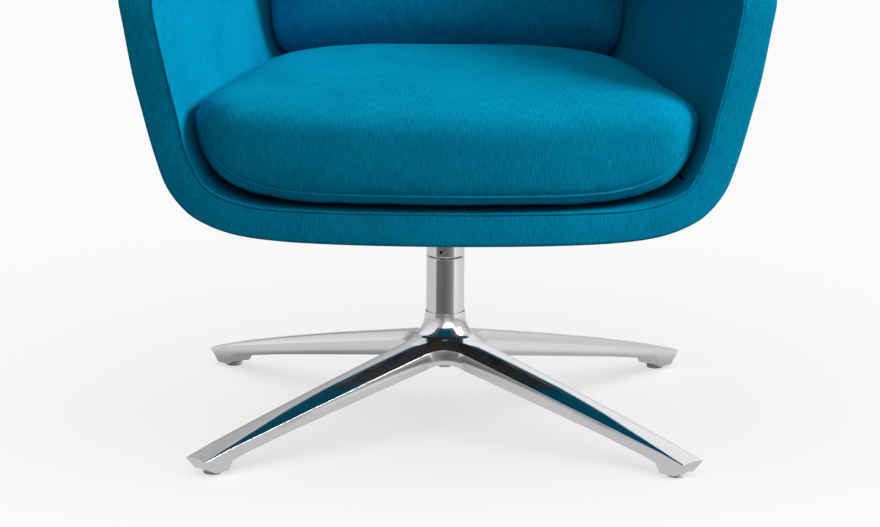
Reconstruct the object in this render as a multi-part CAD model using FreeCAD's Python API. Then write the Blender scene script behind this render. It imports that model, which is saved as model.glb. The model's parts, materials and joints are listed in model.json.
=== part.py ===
import FreeCAD, Part
import os
from math import sin, cos, tan, atan2, radians, sqrt, pi

# A swivel armchair on a four-leg cast pedestal. Millimetres, +Z up, the seat faces -Y.
# The origin is on the floor, on the swivel axis.

V = FreeCAD.Vector
UP = V(0, 0, 1)

# Upholstered shell, seen from the front: outer wall and inner wall, as height and half width
SHELL_BOTTOM = 300.7        # underside of the shell above the floor
OUTER_FLAT_HALF = 205.0     # half width of the flat underside, before it rises to the fold
OUTER_FOLD = 113.0          # radius of the fold from the underside into the walls
OUTER_FOLD_AT = (233.0, 422.5)   # half width and height of the fold's centre line
OUTER_FOLD_TURN = (14.0, 68.0)   # degrees from straight down where the fold starts and ends
OUTER_WALL = [(460, 366.3), (556, 390.3), (652, 399), (748, 394), (844, 381)]
OUTER_TAPER = 9.5           # degrees by which each side closes in towards the back
OUTER_CORNER = 150.0        # plan radius of the rear corners
OUTER_BACK_BOW = 1000.0     # plan radius of the back
OUTER_BACK_Y = 254.0        # back of the shell at the height of its underside
BACK_LEAN = 0.25            # how far the back leans for each millimetre of height

DECK = 342.0                # top of the deck that the seat cushion lies on
INNER_FLAT_HALF = 205.0
INNER_FOLD = 95.0
INNER_FOLD_AT = (214.0, 437.0)
INNER_FOLD_TURN = (20.0, 76.4)
INNER_WALL = [(498, 331.3), (583, 352), (668, 357.5), (753, 352), (838, 340)]
INNER_TAPER = 11.0
INNER_CORNER = 110.0
INNER_BACK_BOW = 900.0
INNER_BACK_Y = 206.0        # inner face of the back at the height of the deck

FOLD_STEPS = 4              # flat bands that make up a fold

SIDE_REF_Y = -320.0         # where along the depth the half widths above are measured
OPEN_Y = -460.0             # the wall profiles run past the front before they are trimmed

# Leading edge of the shell, seen from the side, on the centre plane
FRONT_Y = -372.0            # front of the rail at FRONT_REF_Z
FRONT_REF_Z = 330.0
FRONT_LEAN = 5.7            # degrees that the front face leans back
ELBOW_START = 560.0         # height where the arm front starts to bend back
ELBOW_RADIUS = 90.0
ARM_RISE = 17.0             # degrees that the arm edge climbs towards the back
CREST_START_Y = 190.0       # where the edge starts to level out into the top of the back
CREST_RADIUS = 675.0
FRONT_BOW = 1400.0          # plan radius of the front and of the whole leading edge

CLOTH = 2.2                 # thickness of the upholstery cloth
MITRE_X = 268.0             # corner seam between the rail band and an arm band
REAR_SEAM_Y = 120.0         # seams at the rear corners
DECK_SEAM_Z = 372.0         # seam between the deck cloth and the inner panels
HEM = 24.0                  # width of the outer panels' hem under the shell
UNDER_SEAM_Z = 303.5        # the dust cover's level under the outer panels' hems

# Loose cushions: each roll is a height (or depth) with the inset of the outline there
SEAT_FRONT_HALF = 317.0
SEAT_REAR_HALF = 216.0
SEAT_FRONT_Y = -386.0
SEAT_REAR_Y = 196.0
SEAT_BOW = 34.0
SEAT_CORNER = 62.0
SEAT_ROLL = [(344, 66), (354, 42), (370, 20), (396, 4), (424, 0), (446, 4), (462, 17), (473, 44), (480, 96)]
BACK_LOW_HALF = 214.0
BACK_HIGH_HALF = 236.0
BACK_HEIGHT = 352.0
BACK_BOW = 10.0
BACK_CORNER = 46.0
BACK_ANGLE = 14.0           # degrees that the back cushion leans
BACK_FOOT_Y = 214.0
BACK_FOOT_Z = 452.0
BACK_ROLL = [(0, 22), (14, 7), (38, 0), (64, 1), (86, 12), (102, 34), (112, 68)]
DRAW_IN = 5.0               # how far a cushion's sides pull in between its corners
CUSHION_GAP = 0.5           # clearance round a loose cushion
STRIP = 2.0                 # thickness of the hook-and-loop strips
STRIP_WIDTH = 25.0
STRIPS = [(-250.0, 150.0), (60.0, 105.0)]   # front edge and half length of each strip

# Seat board, plate and fasteners
BOARD_THICK = 18.0
BOARD_HALF = 202.0
BOARD_BACK_Y = 133.0
BOARD_FRONT_Y = -338.0
BOARD_CORNER = 60.0
VENT_R = 20.0               # breather hole through the board
VENT_Y = -170.0
FRAME_TUBE = 13.0
FOOT_BEND = 60.0            # bends at the feet of the frame
ARM_BEND = 40.0
HOOP_Z = 556.0              # height of the frame's hoop in the arms and back
HOOP_CORNER = 125.0
UPRIGHT_X = 160.0
UPRIGHT_BEND = 80.0
PLATE_SIZE = 230.0
PLATE_THICK = 5.0
BOLT_PITCH = 180.0
BOLT_R = 4.0
BOLT_FLANGE_R = 8.5
BOLT_ACROSS = 11.0          # across the flats of the bolt's head

# Column and bearing
COLUMN_R = 24.0
TUBE_WALL = 2.5
NECK_TOP = 140.6
GROOVE_Z = 212.0            # parting line between the fixed tube and the turning collar
GROOVE = 1.0
EDGE = 0.8                  # chamfer on each side of the parting line
SPINDLE_R = 12.5
RUN_GAP = 0.05              # radial running clearance of the spindle in its bushes
SEAT_GAP = 0.05             # clearance between pieces that are seated in one another
SOCKET_FLOOR = 84.0

# Cast star base, along a leg: radius, crest height, crest half width, crease half width,
# drop of the sloped facet, drop of the side face
LEG_STATIONS = [
    (28, 112.0, 14.0, 26.5, 10.5, 21.0),
    (60, 105.6, 13.0, 25.0, 10.0, 20.0),
    (120, 93.2, 12.0, 23.4, 9.6, 18.2),
    (200, 76.6, 11.4, 21.6, 8.8, 16.4),
    (290, 56.4, 12.2, 19.8, 6.6, 14.2),
    (360, 39.4, 14.2, 18.4, 3.8, 14.0),
    (381, 34.0, 15.2, 18.1, 2.6, 15.4),
    (388, 32.1, 15.5, 18.0, 2.2, 25.5),
    (440, 17.2, 17.2, 17.5, 0.3, 14.0),
]
TIP_R = 425.0               # radius of the leg end's upper edge
TIP_FOOT_R = 409.5          # radius of the leg end's lower edge
GLIDE_RING_R = 398.0        # radius of the circle through the glides' centres
VALLEY_R = 35.0             # plan fillet between neighbouring legs
RIB_STATIONS = [70, 168, 270, 372]
RIB = 3.2
CASTING_WALL = 4.2

BASE_BOLT_R = 5.0
TEE_BARREL_R = 5.0
TEE_FLANGE_R = 11.0
TEE_FLANGE = 1.6
PLATE_BOTTOM = SHELL_BOTTOM - PLATE_THICK
SPINDLE_FOOT = 98.0
CLIP_Z = 103.0
THRUST_TOP = 203.0          # top of the upper bush, which the thrust washer turns on
THRUST_GAP = 0.05
THRUST_WASHER = 3.0
LOWER_BUSH_TOP = 126.0
BUSH_LENGTH = 20.0
COLLAR_FOOT = THRUST_TOP + THRUST_WASHER
COLLAR_BOSS_R = 20.6
COLLAR_FLOOR = 228.0        # top of the collar's solid boss, under its hollow upper part
COLLAR_WALL = 3.5
GRUB_Z = 220.0
GRUB_TURN = -14.0           # degrees from the front to the grub screw

GLIDE_R = 11.0
GLIDE_TOP = 4.8
STEM_R = 4.0
STEM_TOP = 14.0


def export(name, shape):
    shape.exportStep("parts/%s.step" % name)


def mirrored(shape):
    return shape.mirror(V(0, 0, 0), V(1, 0, 0))


def turned(shape, degrees, axis=UP, centre=V(0, 0, 0)):
    copy = shape.copy()
    copy.rotate(centre, axis, degrees)
    return copy


def cylinder(radius, low, high, x=0.0, y=0.0):
    return Part.makeCylinder(radius, high - low, V(x, y, low), UP)


def ring(inner, outer, low, high):
    return cylinder(outer, low, high).cut(cylinder(inner, low - 1, high + 1))


def box(x0, x1, y0, y1, z0, z1):
    return Part.makeBox(x1 - x0, y1 - y0, z1 - z0, V(x0, y0, z0))


def polygon(points):
    return Part.makePolygon(list(points) + [points[0]])


def revolved(points):
    """A solid turned about the Z axis from its profile in radius and height."""
    face = Part.Face(polygon([V(r, 0, z) for r, z in points]))
    return face.revolve(V(0, 0, 0), UP, 360)


def line(a, b):
    return Part.LineSegment(a, b).toShape()


def arc(a, middle, b):
    return Part.Arc(a, middle, b).toShape()


def biggest(shape):
    return max(shape.Solids, key=lambda s: s.Volume)


def bent_path(points, radii):
    """Straight runs joined by tangent arcs, with one radius for each corner."""
    edges = []
    start = points[0]
    for before, corner, after, radius in zip(points, points[1:], points[2:], radii):
        into = (before - corner).normalize()
        out = (after - corner).normalize()
        half = into.getAngle(out) / 2
        reach = radius / tan(half)
        bisector = (into + out).normalize()
        centre = corner + bisector * (radius / sin(half))
        first = corner + into * reach
        last = corner + out * reach
        edges.append(line(start, first))
        edges.append(arc(first, centre - bisector * radius, last))
        start = last
    edges.append(line(start, points[-1]))
    return Part.Wire(edges)


def tub_plan(half, back, taper, corner, bow, inset, z):
    """Plan outline of the tub: two tapering sides, round rear corners and a bowed back."""
    lean = radians(taper)
    along = V(-sin(lean), cos(lean), 0)
    inward = V(-cos(lean), -sin(lean), 0)
    side = V(half, SIDE_REF_Y, 0) + inward * inset
    corner = corner - inset
    bow = bow - inset
    bow_centre = V(0, back - inset - bow, 0)
    offset = side + inward * corner - bow_centre
    b = offset.dot(along)
    run = -b + sqrt(b * b - offset.dot(offset) + (bow - corner) ** 2)
    centre = side + inward * corner + along * run
    to_back = (centre - bow_centre).normalize()
    leave = centre - inward * corner
    middle = centre + (to_back - inward).normalize() * corner
    meet = bow_centre + to_back * bow
    front = side + along * ((OPEN_Y - SIDE_REF_Y) / cos(lean))
    lift = V(0, 0, z)
    right = [p + lift for p in (front, leave, middle, meet)]
    left = [V(-p.x, p.y, p.z) for p in right]
    crown = V(0, bow_centre.y + bow, z)
    return Part.Wire([
        line(right[0], right[1]),
        arc(right[1], right[2], right[3]),
        arc(right[3], crown, left[3]),
        arc(left[3], left[2], left[1]),
        line(left[1], left[0]),
        line(left[0], right[0]),
    ])


def tub(bottom, flat_half, fold, fold_at, fold_turn, wall, taper, corner, bow, back_at, inset):
    """The tub's full volume: a flat floor folded up by an arc into flaring walls."""
    start, end = fold_turn
    widest = fold_at[0] + fold * sin(radians(end))
    back = back_at(fold_at[1] - fold * cos(radians(end)))
    slope = atan2(fold_at[1] - fold * cos(radians(start)) - bottom,
                  fold_at[0] + fold * sin(radians(start)) - flat_half)
    floor_in = widest - flat_half + inset * tan(slope / 2)
    sections = [tub_plan(widest, back, taper, corner, bow, floor_in, bottom + inset)]
    for step in range(FOLD_STEPS + 1):
        turn = radians(start + (end - start) * step / FOLD_STEPS)
        drawn_in = widest - fold_at[0] - (fold - inset) * sin(turn)
        z = fold_at[1] - (fold - inset) * cos(turn)
        sections.append(tub_plan(widest, back, taper, corner, bow, drawn_in, z))
    walls = [sections[-1]]
    for z, half in wall:
        walls.append(tub_plan(half, back_at(z), taper, corner, bow, inset, z))
    fold_part = Part.makeLoft(sections, True, True)
    return fold_part.fuse(Part.makeLoft(walls, True, True))


def outer_back_y(z):
    return OUTER_BACK_Y + (z - SHELL_BOTTOM) * BACK_LEAN


def inner_back_y(z):
    return INNER_BACK_Y + (z - DECK) * BACK_LEAN


def outer_tub(inset):
    return tub(SHELL_BOTTOM, OUTER_FLAT_HALF, OUTER_FOLD, OUTER_FOLD_AT, OUTER_FOLD_TURN, OUTER_WALL,
               OUTER_TAPER, OUTER_CORNER, OUTER_BACK_BOW, outer_back_y, inset)


def inner_tub(inset):
    return tub(DECK, INNER_FLAT_HALF, INNER_FOLD, INNER_FOLD_AT, INNER_FOLD_TURN, INNER_WALL,
               INNER_TAPER, INNER_CORNER, INNER_BACK_BOW, inner_back_y, inset)


def behind_leading_edge(inset):
    """Everything behind and under the leading edge, turned about an axis far behind the chair."""
    lean = radians(FRONT_LEAN)
    rise = radians(ARM_RISE)
    low_z = SHELL_BOTTOM - 40
    far_y = 620.0

    def front_y(z):
        return FRONT_Y + (z - FRONT_REF_Z) * tan(lean)

    front_normal = V(0, -cos(lean), sin(lean))
    rise_normal = V(0, -sin(rise), cos(rise))
    elbow = V(0, front_y(ELBOW_START), ELBOW_START) - front_normal * ELBOW_RADIUS
    climb_from = elbow + rise_normal * ELBOW_RADIUS
    climb = CREST_START_Y - climb_from.y
    climb_to = climb_from + V(0, climb, climb * tan(rise))
    crest = climb_to - rise_normal * CREST_RADIUS

    r_elbow = ELBOW_RADIUS - inset
    r_crest = CREST_RADIUS - inset
    start = V(0, front_y(low_z) + inset / cos(lean), low_z)
    b = elbow + front_normal * r_elbow
    b_mid = elbow + (front_normal + rise_normal).normalize() * r_elbow
    c = elbow + rise_normal * r_elbow
    d = crest + rise_normal * r_crest
    d_mid = crest + (rise_normal + UP).normalize() * r_crest
    e = crest + UP * r_crest
    far_top = V(0, far_y, e.z)
    far_low = V(0, far_y, low_z)
    outline = Part.Wire([line(start, b), arc(b, b_mid, c), line(c, d), arc(d, d_mid, e),
                         line(e, far_top), line(far_top, far_low), line(far_low, start)])
    pivot = V(0, FRONT_Y + FRONT_BOW, 0)
    face = turned(Part.Face(outline), -62, UP, pivot)
    return face.revolve(pivot, UP, 124)


def board_blank():
    """The plywood board's outline, before it is drilled; the foam is moulded round it."""
    low = SHELL_BOTTOM + CLOTH
    outline = tub_plan(BOARD_HALF, BOARD_BACK_Y, OUTER_TAPER, BOARD_CORNER, OUTER_BACK_BOW, 0, low)
    board = Part.Face(outline).extrude(V(0, 0, BOARD_THICK))
    return board.common(box(-400, 400, BOARD_FRONT_Y, 400, 0, low + BOARD_THICK + 1))


def seat_board(blank):
    board = blank.cut(cylinder(VENT_R, 0, 400, 0, VENT_Y))
    for x, y in bolt_places():
        board = board.cut(cylinder(TEE_BARREL_R + SEAT_GAP, 0, 400, x, y))
    return board


def bolt_places():
    h = BOLT_PITCH / 2
    return [(-h, -h), (h, -h), (-h, h), (h, h)]


def square_tube(points, radii, across):
    """A bent square tube; its first run lies level, and across is that run's level normal."""
    half = FRAME_TUBE / 2
    start = points[0]
    corners = [start + across * u + UP * v for u, v in ((-half, -half), (half, -half),
                                                       (half, half), (-half, half))]
    return bent_path(points, radii).makePipeShell([polygon(corners)], True, True)


def steel_frame():
    """A bent hoop of square tube in the arms and back, with two uprights, welded into one frame."""
    foot_z = SHELL_BOTTOM + CLOTH + BOARD_THICK + FRAME_TUBE / 2
    back_y = 272.0
    right = [V(150, -240, foot_z), V(270, -240, foot_z), V(353.5, -240, HOOP_Z), V(262, back_y, HOOP_Z)]
    points = right + [V(-p.x, p.y, p.z) for p in reversed(right)]
    bends = [FOOT_BEND, ARM_BEND, HOOP_CORNER]
    hoop = square_tube(points, bends + bends[::-1], V(0, 1, 0))
    rise = [V(UPRIGHT_X, 60, foot_z), V(UPRIGHT_X, 215, foot_z), V(UPRIGHT_X, back_y - 2, HOOP_Z)]
    upright = square_tube(rise, [UPRIGHT_BEND], V(1, 0, 0))
    return hoop.fuse([upright, mirrored(upright)]).removeSplitter()


def shell_pieces():
    """The foam tub and the cloth panels that cover it."""
    edge = behind_leading_edge(0)
    edge_in = behind_leading_edge(CLOTH)
    outside = outer_tub(0)
    outside_in = outer_tub(CLOTH)
    hollow = inner_tub(0)
    hollow_out = inner_tub(-CLOTH)

    foam = outside_in.common(edge_in).cut(hollow_out)
    outer_skin = outside.common(edge_in).cut(outside_in)
    inner_skin = hollow_out.common(edge_in).cut(hollow)
    band = outside.common(edge).cut(edge_in).cut(hollow)
    return foam, outer_skin, inner_skin, band


def foam_tub(foam, blank, frame):
    """Moulded foam round the board and the frame, with pockets for the tee nuts."""
    foam = foam.cut(blank).cut(frame)
    top = SHELL_BOTTOM + CLOTH + BOARD_THICK
    for x, y in bolt_places():
        foam = foam.cut(cylinder(TEE_FLANGE_R + 0.5, top - 1, top + TEE_FLANGE + 0.5, x, y))
    return biggest(foam)


def band_pieces(band):
    """The edge band, cut at the corner mitres and at the top of the back."""
    low = box(-MITRE_X, MITRE_X, -600, 0, 0, DECK_SEAM_Z + 30)
    rail = biggest(band.common(low))
    rest = band.cut(low)
    right = biggest(rest.common(box(0, 600, -600, 600, 0, 1000)))
    return rail, right, mirrored(right)


def outer_pieces(skin):
    """Outer sides and back, hemmed under the shell, and the dust cover between the hems."""
    hem = tub_plan(OUTER_FLAT_HALF - HEM, outer_back_y(SHELL_BOTTOM) - 120, OUTER_TAPER,
                   60, OUTER_BACK_BOW, 0, 0)
    middle = Part.Face(hem).extrude(V(0, 0, SHELL_BOTTOM + OUTER_FOLD))
    middle = middle.common(box(-600, 600, -600, 600, 0, UNDER_SEAM_Z))
    cover = skin.common(middle)
    for x, y in bolt_places():
        cover = cover.cut(cylinder(BOLT_R + 0.5, 0, 400, x, y))
    rest = skin.cut(middle)
    behind = box(-600, 600, REAR_SEAM_Y, 700, 0, 1000)
    back = biggest(rest.common(behind))
    front = rest.cut(behind)
    right = biggest(front.common(box(0, 600, -600, 600, 0, 1000)))
    return biggest(cover), back, right, mirrored(right)


def inner_pieces(skin):
    """Deck cloth, inner arm panels and inner back panel."""
    low = box(-600, 600, -600, 600, 0, DECK_SEAM_Z)
    deck = biggest(skin.common(low))
    rest = skin.cut(low)
    behind = box(-600, 600, REAR_SEAM_Y - 40, 700, 0, 1000)
    back = biggest(rest.common(behind))
    front = rest.cut(behind)
    right = biggest(front.common(box(0, 600, -600, 600, 0, 1000)))
    return deck, back, right, mirrored(right)


def cushion_plan(front, rear, y_front, y_rear, bow, corner, inset, z):
    """Plan outline of a cushion: bowed front, tapering sides and round corners."""
    y0 = y_front + inset
    y1 = y_rear - inset
    lean = (front - rear) / (y_rear - y_front)
    c = corner

    def side(y):
        return front - inset - (y - y_front) * lean

    p = [V(side(y0) - c, y0 + bow, z), V(side(y0 + c), y0 + bow + c, z),
         V(side(y1 - c), y1 - c, z), V(side(y1) - c, y1, z)]
    k = c * (1 - sin(pi / 4))
    m_front = V(side(y0 + k) - k, y0 + bow + k, z)
    m_rear = V(side(y1 - k) - k, y1 - k, z)
    draw = V(DRAW_IN, 0, 0)
    m_side = (p[1] + p[2]) / 2 - draw
    q = [V(-a.x, a.y, a.z) for a in p]
    return Part.Wire([
        arc(q[0], V(0, y0, z), p[0]),
        arc(p[0], m_front, p[1]),
        arc(p[1], m_side, p[2]),
        arc(p[2], m_rear, p[3]),
        line(p[3], q[3]),
        arc(q[3], V(-m_rear.x, m_rear.y, z), q[2]),
        arc(q[2], V(-m_side.x, m_side.y, z), q[1]),
        arc(q[1], V(-m_front.x, m_front.y, z), q[0]),
    ])


def seat_cushion():
    """A crowned cushion whose sides roll in below and above, fitted between the arms."""
    sections = []
    for z, inset in SEAT_ROLL:
        corner = max(SEAT_CORNER - inset * 0.4, 20)
        sections.append(cushion_plan(SEAT_FRONT_HALF, SEAT_REAR_HALF, SEAT_FRONT_Y, SEAT_REAR_Y,
                                     SEAT_BOW, corner, inset, z))
    return biggest(Part.makeLoft(sections, True, True).common(inner_tub(CUSHION_GAP)))


def back_cushion(seat):
    """A crowned cushion built lying on its rear face, then stood up on the seat cushion."""
    sections = []
    for depth, inset in BACK_ROLL:
        corner = max(BACK_CORNER - inset * 0.4, 18)
        sections.append(cushion_plan(BACK_LOW_HALF, BACK_HIGH_HALF, 0, BACK_HEIGHT,
                                     BACK_BOW, corner, inset, depth))
    flat = Part.makeLoft(sections, True, True)
    upright = turned(flat, 90 - BACK_ANGLE, V(1, 0, 0))
    upright.translate(V(0, BACK_FOOT_Y, BACK_FOOT_Z))
    seat_above = seat.translated(V(0, 0, CUSHION_GAP))
    return biggest(upright.common(inner_tub(CUSHION_GAP)).cut(seat_above))


def leg_section(station):
    """One cross-section of a leg along +X: a top face, two sloped facets and the side faces."""
    r, top, crest, crease, facet, side = station
    foot = crease + 0.8
    low = top - facet - side
    right = [V(r, crest, top), V(r, crease, top - facet), V(r, foot, low)]
    left = [V(r, -p.y, p.z) for p in reversed(right)]
    return polygon(right + left)


def channel_section(station):
    """The hollow under a leg: the leg's section drawn in by the casting's wall."""
    r, top, crest, crease, facet, side = station
    w = CASTING_WALL
    low = top - facet - side - 6
    right = [V(r, crest - w * 0.5, top - w), V(r, crease - w, top - w - facet * 0.8),
             V(r, crease - w * 0.7, low)]
    left = [V(r, -p.y, p.z) for p in reversed(right)]
    return polygon(right + left)


def valley_section(turn):
    """A radial section through the fillet between two legs, in the leg's own plan axes."""
    centre = LEG_STATIONS[1][3] + VALLEY_R
    lift = cos(2 * radians(turn))
    heights = [(VALLEY_R - 0.8, 75.8 + 5.2 * lift), (VALLEY_R, 95.4 + 3.8 * lift),
               (VALLEY_R + 12, 105.3 + 3.9 * lift), (centre, 105.0 + 6.0 * lift),
               (centre, 75.8 + 5.2 * lift)]
    direction = V(-cos(radians(45 + turn)), -sin(radians(45 + turn)), 0)
    origin = V(centre, centre, 0)
    return polygon([origin + direction * rho + V(0, 0, z) for rho, z in heights])


def end_cutter():
    """Cuts the leg's end back to a face that slopes in towards its foot."""
    slope = (TIP_R - TIP_FOOT_R) / (21.0 - GLIDE_TOP)
    low, high = -5.0, 60.0
    points = [V(TIP_R + (low - 21.0) * slope, -60, low), V(TIP_R + (high - 21.0) * slope, -60, high),
              V(TIP_R + 90, -60, high), V(TIP_R + 90, -60, low)]
    return Part.Face(polygon(points)).extrude(V(0, 120, 0))


def leg():
    body = Part.makeLoft([leg_section(s) for s in LEG_STATIONS], True, True)
    body = body.cut(end_cutter())
    pad = box(TIP_FOOT_R - 2 * GLIDE_R - 8, TIP_R, -40, 40, 0, 30)
    body = body.cut(box(0, 600, -60, 60, -20, GLIDE_TOP))
    hollow = Part.makeLoft([channel_section(s) for s in LEG_STATIONS], True, True)
    hollow = hollow.cut(pad)
    for low, high in zip(RIB_STATIONS, RIB_STATIONS[1:]):
        body = body.cut(hollow.common(box(low + RIB, high, -60, 60, 0, 150)))
    return body


def star_base():
    """Die-cast base: four faceted legs that run into a hub and neck, hollow underneath."""
    one_leg = leg()
    valley = Part.makeLoft([valley_section(t) for t in range(-45, 46, 15)], True, True)
    hub = revolved([(0, 70), (34, 70), (36, 73), (36, 100), (38, 110), (32.5, 115.5), (28.8, 122.5),
                    (26.2, 131), (24.7, NECK_TOP), (0, NECK_TOP)])
    star = hub
    for quarter in range(4):
        star = star.fuse(turned(one_leg, 90 * quarter))
    for quarter in range(4):
        star = star.fuse(turned(valley, 90 * quarter))
    star = star.cut(cylinder(COLUMN_R + SEAT_GAP, SOCKET_FLOOR, 200))
    star = star.cut(cylinder(BASE_BOLT_R + 0.3, 0, 200))
    star = star.cut(cylinder(15.0, 0, SOCKET_FLOOR - 8))
    for quarter in range(4):
        bore = cylinder(STEM_R + SEAT_GAP, 0, STEM_TOP + 0.6, GLIDE_RING_R, 0)
        star = star.cut(turned(bore, 90 * quarter))
    return turned(biggest(star), 45)


def glides():
    """Four plastic glides, each with a stem pressed into its leg."""
    group = []
    for quarter in range(4):
        pad = revolved([(0, 0), (GLIDE_R - 1, 0), (GLIDE_R, GLIDE_TOP), (STEM_R, GLIDE_TOP),
                        (STEM_R, STEM_TOP), (0, STEM_TOP)])
        pad.translate(V(GLIDE_RING_R, 0, 0))
        group.append(turned(pad, 45 + 90 * quarter))
    return Part.makeCompound(group)


def column_tube():
    r = COLUMN_R
    bore = r - TUBE_WALL
    top = GROOVE_Z - GROOVE / 2
    return revolved([(bore, SOCKET_FLOOR), (r, SOCKET_FLOOR), (r, top - EDGE), (r - EDGE, top),
                     (bore, top)])


def column_plug():
    """Steel plug in the tube's foot, tapped for the base bolt."""
    plug = cylinder(COLUMN_R - TUBE_WALL - SEAT_GAP, SOCKET_FLOOR, SOCKET_FLOOR + 11)
    return plug.cut(cylinder(BASE_BOLT_R, 0, 200))


def hex_prism(across, low, high, x=0.0, y=0.0):
    r = across / 2 / cos(pi / 6)
    corners = [V(x + r * cos(pi / 3 * k), y + r * sin(pi / 3 * k), low) for k in range(6)]
    return Part.Face(polygon(corners)).extrude(V(0, 0, high - low))


def base_bolt():
    """Flange bolt from under the hub into the column's plug."""
    seat = SOCKET_FLOOR - 8
    flange = cylinder(10.5, seat - 2, seat)
    head = hex_prism(16, seat - 8.4, seat - 2)
    return flange.fuse([head, cylinder(BASE_BOLT_R - 0.02, seat, seat + 18)]).removeSplitter()


def spindle_bushes():
    """Two acetal bushes in the tube; the upper one's end carries the seat's weight."""
    outer = COLUMN_R - TUBE_WALL - SEAT_GAP
    inner = SPINDLE_R + RUN_GAP
    lower = ring(inner, outer, LOWER_BUSH_TOP - BUSH_LENGTH, LOWER_BUSH_TOP)
    upper = ring(inner, outer, THRUST_TOP - BUSH_LENGTH, THRUST_TOP)
    return Part.makeCompound([lower, upper])


def spindle():
    """Steel spindle, grooved near its foot for the retaining clip."""
    groove = ring(SPINDLE_R - 1.0, SPINDLE_R + 5, CLIP_Z, CLIP_Z + 1.3)
    body = revolved([(0, SPINDLE_FOOT), (SPINDLE_R - 1, SPINDLE_FOOT), (SPINDLE_R, SPINDLE_FOOT + 1),
                     (SPINDLE_R, PLATE_BOTTOM), (0, PLATE_BOTTOM)])
    return body.cut(groove)


def retaining_clip():
    clip = ring(SPINDLE_R - 0.95, SPINDLE_R + 3.5, CLIP_Z + 0.05, CLIP_Z + 1.25)
    return biggest(clip.cut(box(0, 40, -4, 4, 0, 200)))


def collar():
    """Upper collar that turns with the seat; its boss rides on the thrust washer."""
    r = COLUMN_R
    bore = SPINDLE_R + 0.02
    low = GROOVE_Z + GROOVE / 2
    body = revolved([(bore, COLLAR_FOOT), (COLLAR_BOSS_R, COLLAR_FOOT), (COLLAR_BOSS_R, low),
                     (r - EDGE, low), (r, low + EDGE), (r, PLATE_BOTTOM), (r - COLLAR_WALL, PLATE_BOTTOM),
                     (r - COLLAR_WALL, COLLAR_FLOOR), (bore, COLLAR_FLOOR)])
    return body.cut(turned(Part.makeCylinder(2.6, 40, V(0, 0, GRUB_Z), V(0, -1, 0)), GRUB_TURN))


def grub_screw():
    screw = Part.makeCylinder(2.5, 8.0, V(0, -SPINDLE_R - 0.1, GRUB_Z), V(0, -1, 0))
    socket = Part.makeCylinder(1.3, 3.0, V(0, -SPINDLE_R - 6.1, GRUB_Z), V(0, -1, 0))
    return turned(screw.cut(socket), GRUB_TURN)


def mounting_plate():
    """Pressed steel plate with turned-down edges and four gussets to the collar."""
    h = PLATE_SIZE / 2
    low, high = PLATE_BOTTOM, SHELL_BOTTOM
    blank = box(-h, h, -h, h, low, high)
    blank = blank.makeFillet(24, [e for e in blank.Edges if abs(e.tangentAt(0).z) > 0.9])
    lip = box(-h, h, -h, h, low - 9, low)
    lip = lip.makeFillet(24, [e for e in lip.Edges if abs(e.tangentAt(0).z) > 0.9])
    well = box(-h + 3, h - 3, -h + 3, h - 3, low - 10, low)
    well = well.makeFillet(21, [e for e in well.Edges if abs(e.tangentAt(0).z) > 0.9])
    plate = blank.fuse(lip.cut(well)).removeSplitter()
    for x, y in bolt_places():
        plate = plate.cut(cylinder(BOLT_R + 0.5, 0, 400, x, y))
    rib = Part.Face(polygon([V(COLUMN_R + 0.1, -2, low), V(86, -2, low), V(COLUMN_R + 0.1, -2, low - 26)]))
    rib = rib.extrude(V(0, 4, 0))
    for quarter in range(4):
        plate = plate.fuse(turned(rib, 45 + 90 * quarter))
    return plate.removeSplitter()


def plate_bolts():
    """Four hexagon flange bolts from under the plate into the tee nuts."""
    low = PLATE_BOTTOM
    bolts = []
    for x, y in bolt_places():
        flange = cylinder(BOLT_FLANGE_R, low - 1.6, low, x, y)
        head = hex_prism(BOLT_ACROSS, low - 6, low - 1.6, x, y)
        shank = cylinder(BOLT_R - 0.03, low, low + 24, x, y)
        bolts.append(flange.fuse([head, shank]).removeSplitter())
    return Part.makeCompound(bolts)


def tee_nuts():
    """Flanged nuts let into the top of the seat board."""
    top = SHELL_BOTTOM + CLOTH + BOARD_THICK
    nuts = []
    for x, y in bolt_places():
        nut = revolved([(BOLT_R, top - 13), (TEE_BARREL_R, top - 13), (TEE_BARREL_R, top), (TEE_FLANGE_R, top),
                        (TEE_FLANGE_R, top + TEE_FLANGE), (BOLT_R, top + TEE_FLANGE)])
        nut.translate(V(x, y, 0))
        nuts.append(nut)
    return Part.makeCompound(nuts)


def grip_strips():
    """Hook-and-loop strips that hold the seat cushion on the deck."""
    strips = []
    for y, half in STRIPS:
        strips.append(box(-half, half, y, y + STRIP_WIDTH, DECK, DECK + STRIP))
    return Part.makeCompound(strips)


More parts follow.
